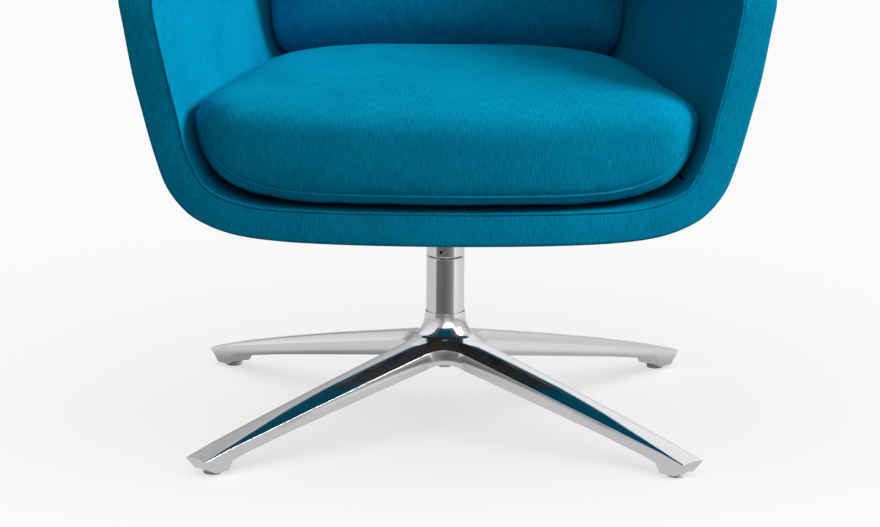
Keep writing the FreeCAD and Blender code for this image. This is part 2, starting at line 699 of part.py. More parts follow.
def main():
    os.makedirs("parts", exist_ok=True)

    export("star_base", star_base())
    export("glides", glides())
    export("column_tube", column_tube())
    export("column_plug", column_plug())
    export("base_bolt", base_bolt())
    export("spindle_bushes", spindle_bushes())
    export("spindle", spindle())
    export("retaining_clip", retaining_clip())
    export("thrust_washer", ring(SPINDLE_R + SEAT_GAP, COLLAR_BOSS_R, THRUST_TOP + THRUST_GAP, COLLAR_FOOT))
    export("collar", collar())
    export("grub_screw", grub_screw())
    export("mounting_plate", mounting_plate())
    export("plate_bolts", plate_bolts())
    export("tee_nuts", tee_nuts())

    blank = board_blank()
    frame = steel_frame()
    foam, outer_skin, inner_skin, band = shell_pieces()
    export("seat_board", seat_board(blank))
    export("arm_frame", frame)
    export("foam_tub", foam_tub(foam, blank, frame))
    rail, arm_right, arm_left = band_pieces(band)
    export("rail_band", rail)
    export("arm_band_right", arm_right)
    export("arm_band_left", arm_left)
    dust, back, right, left = outer_pieces(outer_skin)
    export("dust_cover", dust)
    export("outer_back", back)
    export("outer_side_right", right)
    export("outer_side_left", left)
    deck, back, right, left = inner_pieces(inner_skin)
    export("deck_cloth", deck)
    export("inner_back", back)
    export("inner_arm_right", right)
    export("inner_arm_left", left)
    export("grip_strips", grip_strips())
    seat = seat_cushion()
    export("seat_cushion", seat)
    export("back_cushion", back_cushion(seat))


if __name__ == "__main__":
    main()
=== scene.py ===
import json
import math

import bmesh
import bpy
import numpy as np
from mathutils import Matrix, Vector
from mathutils.bvhtree import BVHTree
from mathutils.kdtree import KDTree

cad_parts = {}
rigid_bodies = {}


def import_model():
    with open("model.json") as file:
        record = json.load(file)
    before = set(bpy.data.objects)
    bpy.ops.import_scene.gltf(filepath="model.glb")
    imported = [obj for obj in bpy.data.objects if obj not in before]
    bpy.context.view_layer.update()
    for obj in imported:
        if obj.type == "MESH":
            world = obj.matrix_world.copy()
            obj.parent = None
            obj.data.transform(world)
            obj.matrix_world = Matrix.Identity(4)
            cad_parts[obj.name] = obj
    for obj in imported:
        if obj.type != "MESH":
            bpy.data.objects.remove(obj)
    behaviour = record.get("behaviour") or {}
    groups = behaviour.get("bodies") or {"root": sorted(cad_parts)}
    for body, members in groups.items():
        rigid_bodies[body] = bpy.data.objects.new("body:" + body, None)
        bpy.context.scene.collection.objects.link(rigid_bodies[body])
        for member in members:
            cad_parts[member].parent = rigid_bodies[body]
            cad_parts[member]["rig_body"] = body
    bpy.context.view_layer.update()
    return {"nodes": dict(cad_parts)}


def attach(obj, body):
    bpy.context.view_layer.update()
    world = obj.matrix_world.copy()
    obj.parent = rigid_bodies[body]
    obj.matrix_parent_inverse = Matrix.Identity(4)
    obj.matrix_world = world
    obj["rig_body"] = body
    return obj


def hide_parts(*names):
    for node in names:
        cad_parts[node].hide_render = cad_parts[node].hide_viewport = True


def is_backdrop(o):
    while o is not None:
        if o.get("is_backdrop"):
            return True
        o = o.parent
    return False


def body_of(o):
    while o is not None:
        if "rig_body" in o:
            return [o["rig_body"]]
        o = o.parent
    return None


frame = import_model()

# Lengths in the geometry code are millimetres in the CAD's frame, and objects are made in metres.
MM = 0.001
SEAT = "seat"
BASE = "base"

# The shell: profiles of the outer and the inner tub as half-width and height, and the leading edge.
SIDE_REF_Y = -320.0         # where the profiles are taken, before the sides taper
BACK_LEAN = 0.25
PIVOT_Y = 1028.0            # axis that the leading edge is turned about
OUTER_PROFILE = [(0, 300.7), (120, 301.4), (189, 303.2), (230, 306.5), (255, 310.8), (280, 318.8),
                 (304, 331.4), (329.4, 359), (345.6, 396), (366.3, 460), (375, 489), (390.3, 556),
                 (396.7, 583), (399, 652), (394, 748), (381, 844), (370, 920)]
INNER_PROFILE = [(0, 342), (150, 342.6), (217.7, 345), (245.7, 350), (263.9, 356), (277, 363),
                 (286, 371), (295.2, 387), (305.5, 408), (316.5, 448), (331.3, 498), (352, 583),
                 (357.5, 668), (352, 753), (340, 838), (330, 920)]
RAIL_FACE = (-372.0, 330.0)     # a point of the rail's face, as y and z
RAIL_LEAN = math.radians(5.7)
ELBOW_Z, ELBOW_R = 560.0, 90.0  # where the arm's front corner turns, and its radius
ARM_RISE = math.radians(17.0)
CREST_Y, CREST_R = 190.0, 675.0     # where the climbing edge begins to level out, and its radius


def smooth_curve(points, steps=24):
    """A dense centripetal curve through the points."""
    p = np.array(points, float)
    p = np.vstack([2 * p[0] - p[1], p, 2 * p[-1] - p[-2]])
    out = []
    for a, b, c, d in zip(p, p[1:], p[2:], p[3:]):
        t = np.cumsum([0] + [np.linalg.norm(v) ** 0.5 for v in (b - a, c - b, d - c)])
        s = np.linspace(t[1], t[2], steps, endpoint=False)[:, None]
        a1 = (t[1] - s) / t[1] * a + s / t[1] * b
        a2 = (t[2] - s) / (t[2] - t[1]) * b + (s - t[1]) / (t[2] - t[1]) * c
        a3 = (t[3] - s) / (t[3] - t[2]) * c + (s - t[2]) / (t[3] - t[2]) * d
        b1 = (t[2] - s) / t[2] * a1 + s / t[2] * a2
        b2 = (t[3] - s) / (t[3] - t[1]) * a2 + (s - t[1]) / (t[3] - t[1]) * a3
        out.append((t[2] - s) / (t[2] - t[1]) * b1 + (s - t[1]) / (t[2] - t[1]) * b2)
    out.append(p[-2][None])
    return np.vstack(out)


def arc_length(p, axis=0):
    """Arc length from the first point on, along an axis of an array of points."""
    steps = np.linalg.norm(np.diff(p, axis=axis), axis=-1)
    return np.insert(np.cumsum(steps, axis=axis), 0, 0, axis=axis)


def unit(v):
    return v / np.linalg.norm(v, axis=-1, keepdims=True)


class Tub:
    """A tub of the shell: how deep a point lies inside its walls and floor."""

    def __init__(self, profile, taper, corner, bow, back_y, floor_z, fold_end):
        curve = smooth_curve(profile)
        self.half, self.z = curve[:, 0], curve[:, 1]
        self.z = np.maximum.accumulate(self.z + np.arange(len(self.z)) * 1e-7)
        self.run = arc_length(curve)
        self.lean = math.radians(taper)
        self.corner, self.bow = corner, bow
        self.back_y, self.floor_z, self.fold_end = back_y, floor_z, fold_end

    def depth(self, p):
        x, y, z = np.abs(p[..., 0]), p[..., 1], p[..., 2]
        along = np.array([-math.sin(self.lean), math.cos(self.lean)])
        inward = np.array([-math.cos(self.lean), -math.sin(self.lean)])
        high = np.maximum(z, self.fold_end)
        wide = np.interp(high, self.z, self.half)
        inset = wide - np.interp(z, self.z, self.half)
        back = self.back_y + (high - self.floor_z) * BACK_LEAN
        centre_y = back - self.bow
        side = (x - wide) * inward[0] + (y - SIDE_REF_Y) * inward[1]
        rear = self.bow - np.hypot(x, y - centre_y)
        ox = wide + inward[0] * self.corner
        oy = SIDE_REF_Y + inward[1] * self.corner - centre_y
        b = ox * along[0] + oy * along[1]
        run = -b + np.sqrt(b * b - (ox * ox + oy * oy) + (self.bow - self.corner) ** 2)
        cx, cy = ox + along[0] * run, oy + along[1] * run
        size = np.hypot(cx, cy)
        tx, ty = cy / size, -cx / size
        qx, qy = x - cx, y - centre_y - cy
        beyond = (qx * along[0] + qy * along[1] > 0) & (qx * tx + qy * ty > 0)
        straight = np.where(qx * along[0] + qy * along[1] <= 0, side, rear)
        plan = np.where(beyond, self.corner - np.hypot(qx, qy), straight)
        return np.minimum(plan - inset, z - self.z[0])

    def climb(self, z):
        """Arc length along the profile at a height, for the cloth's lengthwise direction."""
        return np.interp(z, self.z, self.run)


outer = Tub(OUTER_PROFILE, 9.5, 150.0, 1000.0, 254.0, 300.7, 380.2)
inner = Tub(INNER_PROFILE, 11.0, 110.0, 900.0, 206.0, 342.0, 414.7)


def rail_y(z):
    return RAIL_FACE[0] + (z - RAIL_FACE[1]) * math.tan(RAIL_LEAN)


def arc(centre, radius, angles):
    return [centre + radius * np.array([math.cos(a), math.sin(a)]) for a in angles]


def leading_profile():
    """The leading edge on the centre plane: front, elbow, climbing arm edge and crest."""
    n1 = np.array([-math.cos(RAIL_LEAN), math.sin(RAIL_LEAN)])
    n2 = np.array([-math.sin(ARM_RISE), math.cos(ARM_RISE)])
    elbow = np.array([rail_y(ELBOW_Z), ELBOW_Z]) - n1 * ELBOW_R
    climb_from = elbow + n2 * ELBOW_R
    run = CREST_Y - climb_from[0]
    climb_to = climb_from + np.array([run, run * math.tan(ARM_RISE)])
    crest = climb_to - n2 * CREST_R
    turned_to = math.pi / 2 + ARM_RISE
    points = [np.array([rail_y(260.0), 260.0])]
    points += arc(elbow, ELBOW_R, np.linspace(math.pi - RAIL_LEAN, turned_to, 40))
    points += arc(crest, CREST_R, np.linspace(turned_to, math.pi / 2, 60))
    points.append(np.array([620.0, crest[1] + CREST_R]))
    p = np.array(points)
    run = arc_length(p)
    dense = np.linspace(0, run[-1], 3000)
    return dense, np.interp(dense, run, p[:, 0]), np.interp(dense, run, p[:, 1])


LEAD_T, LEAD_Y, LEAD_Z = leading_profile()


def lead(x, t):
    """The point of the leading-edge surface at x and at arc length t of its profile."""
    y = np.interp(t, LEAD_T, LEAD_Y)
    return np.stack([x, PIVOT_Y - np.sqrt((PIVOT_Y - y) ** 2 - x ** 2),
                     np.interp(t, LEAD_T, LEAD_Z) + 0 * x], -1)


def lead_normal(x, t):
    across = lead(x + 0.5, t) - lead(x - 0.5, t)
    up = lead(x, t + 0.5) - lead(x, t - 0.5)
    return unit(np.cross(across, up))


def bisect(test, low, high, rounds=40):
    """The values between low and high, where test is true, and where it stops being true."""
    low, high = np.array(low, float), np.array(high, float)
    for _ in range(rounds):
        middle = (low + high) / 2
        inside = test(middle)
        low = np.where(inside, middle, low)
        high = np.where(inside, high, middle)
    return (low + high) / 2


def edge_loop(tub, turn_x):
    """Where the tub's surface meets the leading edge, from the rail's centre to the back's."""
    xs = np.linspace(0, turn_x, 160)
    t_mid = np.interp(410.0, LEAD_Z, LEAD_T)
    ts = bisect(lambda t: tub.depth(lead(xs, t)) > 0, np.full(160, t_mid), np.zeros(160))
    end = bisect(lambda t: tub.depth(lead(np.zeros(1), t)) > 0, [t_mid], [LEAD_T[-1] - 1])[0]
    s = np.linspace(0, 1, 1600)[1:]
    t2 = ts[-1] + (end - ts[-1]) * (1 - (1 - s) ** 2)
    x2 = bisect(lambda x: tub.depth(lead(x, t2)) > 0, np.zeros(len(t2)), np.full(len(t2), 460.0))
    x2[-1] = 0
    x, t = np.concatenate([xs, x2]), np.concatenate([ts, t2])
    p = lead(x, t)
    return arc_length(p), x, t, p


O_RUN, O_X, O_T, O_P = edge_loop(outer, 255.0)
I_RUN, I_X, I_T, I_P = edge_loop(inner, 240.0)


def match():
    """For places along the outer edge, the run of the nearest place along the inner edge."""
    u = np.linspace(0, O_RUN[-1], 500)
    pos = np.stack([np.interp(u, O_RUN, O_P[:, k]) for k in range(3)], -1)
    pick = [I_RUN[np.argmin(((I_P - p) ** 2).sum(1))] for p in pos]
    v = np.maximum.accumulate(np.array(pick))
    v[0], v[-1] = 0, I_RUN[-1]
    for _ in range(30):
        v[1:-1] = (v[:-2] + 2 * v[1:-1] + v[2:]) / 4
    return u, v


MATCH_U, MATCH_V = match()


def at_outer(u):
    return np.interp(u, O_RUN, O_X), np.interp(u, O_RUN, O_T)


def at_inner(u):
    v = np.interp(u, MATCH_U, MATCH_V)
    return np.interp(v, I_RUN, I_X), np.interp(v, I_RUN, I_T)


def u_where(axis, value, after):
    """The run along the outer edge where a coordinate first passes the value."""
    side = O_P[:, axis] > value
    k = np.nonzero((side[1:] != side[:-1]) & (O_RUN[1:] > after))[0][0]
    return O_RUN[k]


def surface_point(tub, centre, direction):
    """Where rays from the centre leave the tub."""
    far = np.full(direction.shape[:-1], 900.0)
    r = bisect(lambda r: tub.depth(centre + direction * r[..., None]) > 0, 0 * far, far, 34)
    return centre + direction * r[..., None]


def swing(start, share):
    """Directions turned from the start ones towards straight down by a share of the whole angle."""
    pole = np.array([0, 0, -1.0])
    whole = np.arccos(np.clip(start @ pole, -1, 1))[..., None]
    turn = whole * share[..., None]
    return (np.sin(whole - turn) * start + np.sin(turn) * pole) / np.sin(whole)


def wall_paths(tub, centre, edge):
    """Tables of arc length against share of turn along each path from the edge down the wall."""
    start = unit(edge - centre)
    shares = np.linspace(0, 0.97, 260)
    grid = swing(start[:, None, :], np.broadcast_to(shares, (len(edge), len(shares))))
    p = surface_point(tub, centre, grid)
    return start, shares, arc_length(p, 1), p


def stopped_at(run, inside):
    """The arc length where each path first comes inside its stop."""
    return np.array([r[np.argmax(i)] if i.any() else r[-1] for r, i in zip(run, inside)])


def wall_points(tub, centre, edge, distance):
    """Points down the wall at the given distances from the edge."""
    start, shares, run, _ = wall_paths(tub, centre, edge)
    share = np.array([np.interp(distance, r, shares) for r in run])
    return surface_point(tub, centre, swing(start[:, None, :], share))


def wall_grid(tub, centre, edge, stop, near, rows):
    """Points down the wall: at the near distances from the edge, then evenly to the stop."""
    start, shares, run, path = wall_paths(tub, centre, edge)
    length = stopped_at(run, stop(path))
    grid, dist = [], []
    for k in range(len(edge)):
        want = np.concatenate([near, np.linspace(near[-1], max(length[k], near[-1] + 0.5), rows)[1:]])
        grid.append(np.interp(want, run[k], shares))
        dist.append(want)
    share, dist = np.array(grid), np.array(dist)
    p = surface_point(tub, centre, swing(start[:, None, :], share))
    return p, dist, length


def grid_normals(p):
    a = np.gradient(p, axis=0)
    b = np.gradient(p, axis=1)
    n = np.cross(a, b)
    return n / np.maximum(np.linalg.norm(n, axis=-1, keepdims=True), 1e-9)


def roll(d, radius):
    """How deep a rolled edge lies at a distance from its seam."""
    inside = np.clip(radius - d, 0, radius)
    return radius - np.sqrt(radius ** 2 - inside ** 2)


# Meshes
def put(name, data):
    obj = bpy.data.objects.new(name, data)
    bpy.context.scene.collection.objects.link(obj)
    return obj


def smooth(mesh):
    mesh.polygons.foreach_set("use_smooth", [True] * len(mesh.polygons))


def add(name, verts, faces, material, body, uv=None):
    """A smooth mesh object that rides on a body. Where uv is given, it places the threads of the cloth."""
    mesh = bpy.data.meshes.new(name)
    mesh.from_pydata([tuple(v) for v in np.asarray(verts) * MM], [], [tuple(f) for f in faces])
    mesh.update()
    if uv is not None:
        lay_cloth(mesh, np.asarray(uv) * MM)
    smooth(mesh)
    obj = put(name, mesh)
    mesh.materials.append(material)
    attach(obj, body)
    return obj


def lay_cloth(mesh, uv):
    """Writes each vertex's place on the cloth, in metres, into the layer that the cloth's weave reads."""
    layer = mesh.uv_layers.get("cloth") or mesh.uv_layers.new(name="cloth")
    index = np.zeros(len(mesh.loops), int)
    mesh.loops.foreach_get("vertex_index", index)
    layer.data.foreach_set("uv", uv[index].astype(np.float32).ravel())


def grid_faces(n, m, flip=False, closed=False):
    last = n if closed else n - 1
    i, j = np.meshgrid(np.arange(last), np.arange(m - 1), indexing="ij")
    a, b = (i * m + j).ravel(), (((i + 1) % n) * m + j).ravel()
    f = np.stack([a, b, b + 1, a + 1], 1)
    return f[:, ::-1] if flip else f


def ring_faces(n, m, first=0, closed=True):
    """Faces round n sections of m points each; closed means that each section is a loop."""
    return [(first + k * m + j, first + (k + 1) % n * m + j,
             first + (k + 1) % n * m + (j + 1) % m, first + k * m + (j + 1) % m)
            for k in range(n) for j in range(m if closed else m - 1)]


def mirror_x(p):
    return p * np.array([-1.0, 1, 1])


def vertex_array(mesh):
    co = np.zeros(len(mesh.vertices) * 3)
    mesh.vertices.foreach_get("co", co)
    return co.reshape(-1, 3)


def apply_modifiers(obj):
    """Puts what the object's modifiers make into its own mesh."""
    deps = bpy.context.evaluated_depsgraph_get()
    mesh = bpy.data.meshes.new_from_object(obj.evaluated_get(deps))
    obj.modifiers.clear()
    old = obj.data
    obj.data = mesh
    bpy.data.meshes.remove(old)


def weld(obj, gap):
    """Joins the points that meet and turns every face outward."""
    bm = bmesh.new()
    bm.from_mesh(obj.data)
    bmesh.ops.remove_doubles(bm, verts=bm.verts, dist=gap * MM)
    bmesh.ops.recalc_face_normals(bm, faces=bm.faces)
    bm.to_mesh(obj.data)
    bm.free()


def sharpen(obj, angle):
    obj.data.set_sharp_from_angle(angle=math.radians(angle))


# Materials
def material(name, **sockets):
    mat = bpy.data.materials.new(name)
    mat.use_nodes = True
    bsdf = mat.node_tree.nodes["Principled BSDF"]
    for key, value in sockets.items():
        bsdf.inputs[key.replace("_", " ")].default_value = value
    return mat, mat.node_tree, bsdf


def node(tree, kind, values=None, **settings):
    n = tree.nodes.new(kind)
    for key, value in settings.items():
        setattr(n, key, value)
    for key, value in (values or {}).items():
        if isinstance(value, bpy.types.NodeSocket):
            tree.links.new(value, n.inputs[key])
        else:
            n.inputs[key].default_value = value
    return n


def ramp(tree, fac, stops):
    n = node(tree, "ShaderNodeValToRGB", {"Fac": fac})
    e = n.color_ramp.elements
    while len(e) < len(stops):
        e.new(0.5)
    for k, (pos, colour) in enumerate(stops):
        e[k].position = pos
        e[k].color = (*colour, 1)
    return n.outputs["Color"]


def greys(tree, fac, stops):
    return ramp(tree, fac, [(place, (level,) * 3) for place, level in stops])


def calc(tree, operation, a, b):
    return node(tree, "ShaderNodeMath", {0: a, 1: b}, operation=operation).outputs[0]


def span(tree, value, low, high, to_low=0.0, to_high=1.0):
    return node(tree, "ShaderNodeMapRange", {"Value": value, "From Min": low, "From Max": high,
                                             "To Min": to_low, "To Max": to_high}).outputs[0]


def noise(tree, place, scale, detail, **values):
    return node(tree, "ShaderNodeTexNoise", {"Vector": place, "Scale": scale, "Detail": detail,
                                             **values}).outputs["Fac"]


def mix(tree, share, low, high, **settings):
    return node(tree, "ShaderNodeMix", {0: share, 6: low, 7: high}, data_type="RGBA", **settings).outputs[2]


def object_place(tree):
    return node(tree, "ShaderNodeTexCoord").outputs["Object"]


def bump(tree, bsdf, height, strength, distance):
    n = node(tree, "ShaderNodeBump", {"Height": height, "Strength": strength, "Distance": distance})
    tree.links.new(n.outputs["Normal"], bsdf.inputs["Normal"])


def cloth_material(name, dark, light):
    """Melange wool: streaks along the warp over a fine plain weave."""
    mat, tree, bsdf = material(name, Roughness=0.95, Sheen_Weight=0.12, Sheen_Roughness=0.5,
                               Sheen_Tint=(0.0, 0.55, 0.8, 1), Specular_IOR_Level=0.0)
    uv = node(tree, "ShaderNodeUVMap", uv_map="cloth").outputs["UV"]
    scale = (1 / (STREAK[0] * MM), 1 / (STREAK[1] * MM), 1)
    long = node(tree, "ShaderNodeMapping", {"Vector": uv, "Scale": scale}).outputs["Vector"]
    streaks = noise(tree, long, 1.0, 3.0, Roughness=0.62)
    fine = node(tree, "ShaderNodeMapping", {"Vector": uv, "Scale": (WEAVE, WEAVE, 1)}).outputs["Vector"]
    both = calc(tree, "ADD", streaks, noise(tree, fine, 1.0, 2.0))
    drift = calc(tree, "MULTIPLY", noise(tree, uv, 9.0, 2.0), 0.3)
    share = span(tree, calc(tree, "ADD", both, drift), 0.90, 1.40)
    tree.links.new(ramp(tree, share, [(0.0, dark), (1.0, light)]), bsdf.inputs["Base Color"])
    bump(tree, bsdf, both, 0.5, 0.0009)
    return mat


def plain_material(name, colour, roughness, grain, spread=0.12, depth=0.0002):
    mat, tree, bsdf = material(name, Roughness=roughness)
    grains = noise(tree, object_place(tree), grain, 4.0)
    low = tuple(c * (1 - spread) for c in colour)
    high = tuple(min(c * (1 + spread), 1) for c in colour)
    tree.links.new(ramp(tree, grains, [(0.3, low), (0.7, high)]), bsdf.inputs["Base Color"])
    bump(tree, bsdf, grains, 0.2, depth)
    return mat


def polished_material(name, colour, roughness, scratch=0.03):
    """Polished metal with faint polishing marks."""
    mat, tree, bsdf = material(name, Metallic=1.0, Roughness=roughness, Base_Color=(*colour, 1))
    place = object_place(tree)
    soft = noise(tree, place, 18.0, 2.0)
    rough = span(tree, soft, 0.0, 1.0, roughness - scratch, roughness + scratch)
    tree.links.new(rough, bsdf.inputs["Roughness"])
    dull = tuple(c * 0.96 for c in colour)
    tree.links.new(ramp(tree, soft, [(0.3, dull), (0.7, colour)]), bsdf.inputs["Base Color"])
    bump(tree, bsdf, noise(tree, place, 240.0, 5.0), 0.02, 0.0001)
    return mat


CLOTH = 1.6                 # the cloth's thickness
STREAK = (1.3, 14.0)        # width and length of the melange's streaks
WEAVE = 1100                # threads to the metre
SHELL = cloth_material("shell_cloth", (0.0006, 0.142, 0.255), (0.0014, 0.30, 0.515))
# The cushions are of the shell's fabric; this copy is made a little lighter as painted light on the
# cushions.
CUSHION_LIGHTENED = cloth_material("cushion_cloth", (0.0006, 0.152, 0.272), (0.0014, 0.325, 0.545))
ALLOY = polished_material("polished_aluminium", (0.86, 0.87, 0.88), 0.11)
TUBE = polished_material("column_polish", (0.80, 0.81, 0.82), 0.09)
ZINC = polished_material("zinc_steel", (0.55, 0.56, 0.57), 0.32, 0.06)
BLACK = plain_material("black_steel", (0.02, 0.02, 0.021), 0.45, 300.0)
NYLON = plain_material("pale_nylon", (0.72, 0.72, 0.70), 0.35, 120.0, spread=0.04)
ACETAL = plain_material("acetal", (0.80, 0.80, 0.76), 0.4, 120.0, spread=0.03)
PLY = plain_material("plywood", (0.52, 0.36, 0.20), 0.6, 40.0, spread=0.2)
FOAM = plain_material("foam", (0.62, 0.58, 0.40), 0.95, 900.0, spread=0.2, depth=0.0006)
TAPE = plain_material("grip_tape", (0.015, 0.015, 0.016), 0.95, 1500.0, spread=0.5)

# The shell's covers
OUTER_EYE = np.array([0.0, 0.0, 560.0])
INNER_EYE = np.array([0.0, -50.0, 600.0])
CLOSE = [0.0, 0.5, 1.0, 1.7, 2.6, 4.0]      # distances of the fine rows beside a seam
STEP = 6.0                  # distance of the rows along the edge
SEAM_FROM_EDGE = 9.0        # the outer panels' seam, down the wall from the leading edge
SOFT_EDGE = 6.0             # rounding of the outer edge
DECK_SEAM_Z = 372.0
RAIL_WRAP = 26.0            # how far the rail's cover runs under the shell
ROLL = 2.2                  # rolled edge of a panel at its seam
BAND_ROLL = 1.6             # the same at the band's inner seam
BAND_TUCK = 1.8             # and at the band's lower edge
BAND_INSET = 3.4            # the band's inner seam, from the inner edge
BAND_CROWN = 0.9
RIDGE = 1.0                 # raised ridge beside the band's inner seam
EDGE_FALL = 12.0            # rounding of the inner panels into the wall
HEM_HALF, HEM_FRONT, HEM_REAR, HEM_Z = 181, -345, 134, 306      # hem of the dust cover
DUST_Y, DUST_HALF, DUST_LENGTH, DUST_Z = -105.0, 178.0, 236.0, 301.9
MITRE_U = u_where(0, 276.0, 200.0)
REAR_SEAM_U = u_where(1, 150.0, 500.0)
END_U = O_RUN[-1]
DECK_END_U = float(np.interp(np.interp(DECK_SEAM_Z + 14, I_P[:, 2], I_RUN), MATCH_V, MATCH_U))
INNER_SEAM_U = float(np.interp(I_RUN[np.argmax((I_P[:, 1] > 95) & (I_RUN > 500))], MATCH_V, MATCH_U))


def spaced(a, b, fine_a=True, fine_b=True):
    """Runs from a to b, about a step apart, with close ones beside the seams."""
    first = [a + d for d in CLOSE] if fine_a else [a]
    last = [b - d for d in reversed(CLOSE)] if fine_b else [b]
    n = max(int((last[0] - first[-1]) / STEP), 1)
    return np.concatenate([first, np.linspace(first[-1], last[0], n + 1)[1:-1], last])


def hem_reached(p):
    """True once a path down the outer wall has come to the hem of the dust cover."""
    x, y = np.abs(p[..., 0]), p[..., 1]
    half = HEM_HALF - (y - SIDE_REF_Y) * math.tan(outer.lean)
    return (p[..., 2] < HEM_Z) & (x < half) & (y < HEM_REAR) & (y > HEM_FRONT)


def deck_reached(p):
    return p[..., 2] <= DECK_SEAM_Z


def seam_depth(*gaps):
    """How deep the rolled edges lie, from the distances to a panel's seams."""
    return np.maximum.reduce([roll(np.maximum(gap, 0), ROLL) for gap in gaps])


def panel(tub, p, depth, whole):
    """Sinks a panel's rolled edges into the shell and lays its threads. A whole panel is mirrored."""
    across, facing = p[..., 1], 0
    if whole:
        middle = len(p) - 1
        p = np.concatenate([p, mirror_x(p[-2::-1])])
        depth = np.concatenate([depth, depth[-2::-1]])
        across = arc_length(p[..., :2])
        across, facing = across - across[middle], 1
    n = grid_normals(p)
    if (np.mean(n[..., facing]) > 0) == (tub is outer):
        n = -n
    return p + n * depth[..., None], np.stack([across, tub.climb(p[..., 2])], -1)


def outer_cover(u, whole):
    x, t = at_outer(u)
    near = SEAM_FROM_EDGE + np.array(CLOSE + [7.0, 11.0])
    p, dist, length = wall_grid(outer, OUTER_EYE, lead(x, t), hem_reached, near, 52)
    side = np.abs(REAR_SEAM_U - u)[:, None] + 0 * dist
    return panel(outer, p, seam_depth(dist - SEAM_FROM_EDGE, length[:, None] - dist, side), whole)


def band_across(u):
    """The outer edge's points, and the leading edge's outward directions, width and normals."""
    xi, ti = at_inner(u)
    o, i = lead(*at_outer(u)), lead(xi, ti)
    width = np.linalg.norm(o - i, axis=1)
    return o, (o - i) / width[:, None], width, lead_normal(xi, ti)


def inner_cover(u, whole):
    """An inner panel: a ridge beside the seam, a rounded fall and the wall down to the deck."""
    edge = lead(*at_inner(u))
    near = np.array([0.0, 1.0, 2.0, 3.2, 4.6, 6.2, 8.2, 10.4, 13.0, 17.0])
    p, dist, length = wall_grid(inner, INNER_EYE, edge, deck_reached, near, 56)
    _, out, _, normal = band_across(u)
    fall_to = wall_points(inner, INNER_EYE, edge, [EDGE_FALL])
    edge, out, normal = edge[:, None, :], out[:, None, :], normal[:, None, :]
    blend = np.clip(dist / EDGE_FALL, 0, 1)[..., None]
    curve = (1 - blend) ** 2 * (edge + out * 1.5) + 2 * blend * (1 - blend) * edge + blend ** 2 * fall_to
    q = np.where((dist < EDGE_FALL)[..., None], curve, p)
    q = q + normal * np.interp(dist, [0, 3.0, 7.0], [RIDGE, RIDGE * 0.3, 0])[..., None]
    lip = edge + out * np.array([3.6, 3.6, 3.3, 2.6])[None, :, None]
    lip = lip + normal * np.array([-2.6, -0.6, RIDGE * 0.7, RIDGE])[None, :, None]
    q = np.concatenate([lip, q], axis=1)
    low = np.concatenate([np.full(lip.shape[:2], 99.0), length[:, None] - dist], 1)
    return panel(inner, q, seam_depth(low, np.abs(u - INNER_SEAM_U)[:, None] + 0 * low), whole)


def band(u, rail):
    """A band of the leading edge: inner seam, face, soft outer edge and a short return."""
    o, _, width, _ = band_across(u)
    (xo, to), (xi, ti) = at_outer(u), at_inner(u)
    tail = RAIL_WRAP if rail else SEAM_FROM_EDGE
    down = np.array([SOFT_EDGE] + ([9.0, 14.0, 19.0] if rail else [7.5]) + [tail - 1.2, tail - 0.4, tail])
    wall = wall_points(outer, OUTER_EYE, o, down)
    w_in = (BAND_INSET / width)[:, None]
    ease = np.concatenate([[0, 0.018, 0.045, 0.09, 0.16], np.linspace(0.26, 1, 9)])
    w = w_in + ((1 - SOFT_EDGE / width)[:, None] - w_in) * ease
    x, t = xi[:, None] + (xo - xi)[:, None] * w, ti[:, None] + (to - ti)[:, None] * w
    sink = roll((w - w_in) * width[:, None], BAND_ROLL)
    face = lead(x, t) + lead_normal(x, t) * (BAND_CROWN * np.sin(np.pi * ease) - sink)[..., None]
    b = np.linspace(0, 1, 8)[1:-1][None, :, None]
    turn = (1 - b) ** 2 * face[:, -1:] + 2 * b * (1 - b) * o[:, None] + b ** 2 * wall[:, :1]
    wall = wall - unit(wall - OUTER_EYE) * roll(tail - down, BAND_TUCK)[None, :, None]
    q = np.concatenate([face, turn, wall], axis=1)
    across = arc_length(q, 1)
    along = u[:, None] + 0 * across
    return q, np.stack([along, -across] if rail else [across, along], -1)


def cover(name, verts, faces, uv, node_name):
    """A stretched sheet of the shell's cloth."""
    obj = add(name, verts, faces, SHELL, SEAT, uv)
    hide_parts(node_name)
    mod = obj.modifiers.new("cloth", "SOLIDIFY")
    mod.thickness = CLOTH * MM
    mod.offset = -1.0


def grid_piece(name, p, uv, outward, node_name):
    """A sheet from a grid of points."""
    n, m = p.shape[:2]
    flip = np.mean((grid_normals(p) * outward).sum(-1)) < 0
    cover(name, p.reshape(-1, 3), grid_faces(n, m, flip), uv.reshape(-1, 2), node_name)


def pair(stem, p, uv, outward, flat):
    """A right piece and its mirror image on the left."""
    grid_piece(stem + "_right_cover", p, uv, outward, stem + "_right")
    grid_piece(stem + "_left_cover", mirror_x(p), uv * [-1, 1], mirror_x(outward), stem + "_left")


def build_shell():
    aside, behind = np.array([1.0, 0, 0]), np.array([0, 1.0, 0])
    pair("outer_side", *outer_cover(spaced(MITRE_U, REAR_SEAM_U), False), aside, (0.62, 0.62))
    p, uv = outer_cover(spaced(REAR_SEAM_U, END_U, True, False), True)
    grid_piece("outer_back_cover", p, uv, behind, "outer_back")
    pair("inner_arm", *inner_cover(spaced(DECK_END_U, INNER_SEAM_U, False), False), -aside, (0.55, 0.45))
    p, uv = inner_cover(spaced(INNER_SEAM_U, END_U, True, False), True)
    grid_piece("inner_back_cover", p, uv, -behind, "inner_back")
    p, uv = band(spaced(0.0, MITRE_U, False), True)
    p = np.concatenate([mirror_x(p[:0:-1]), p])
    uv = np.concatenate([(uv * [-1, 1])[:0:-1], uv])
    grid_piece("rail_cover", p, uv, -behind, "rail_band")
    pair("arm_band", *band(spaced(MITRE_U, END_U), False), np.array([0, -0.6, 0.6]), (1.45, 0.07))


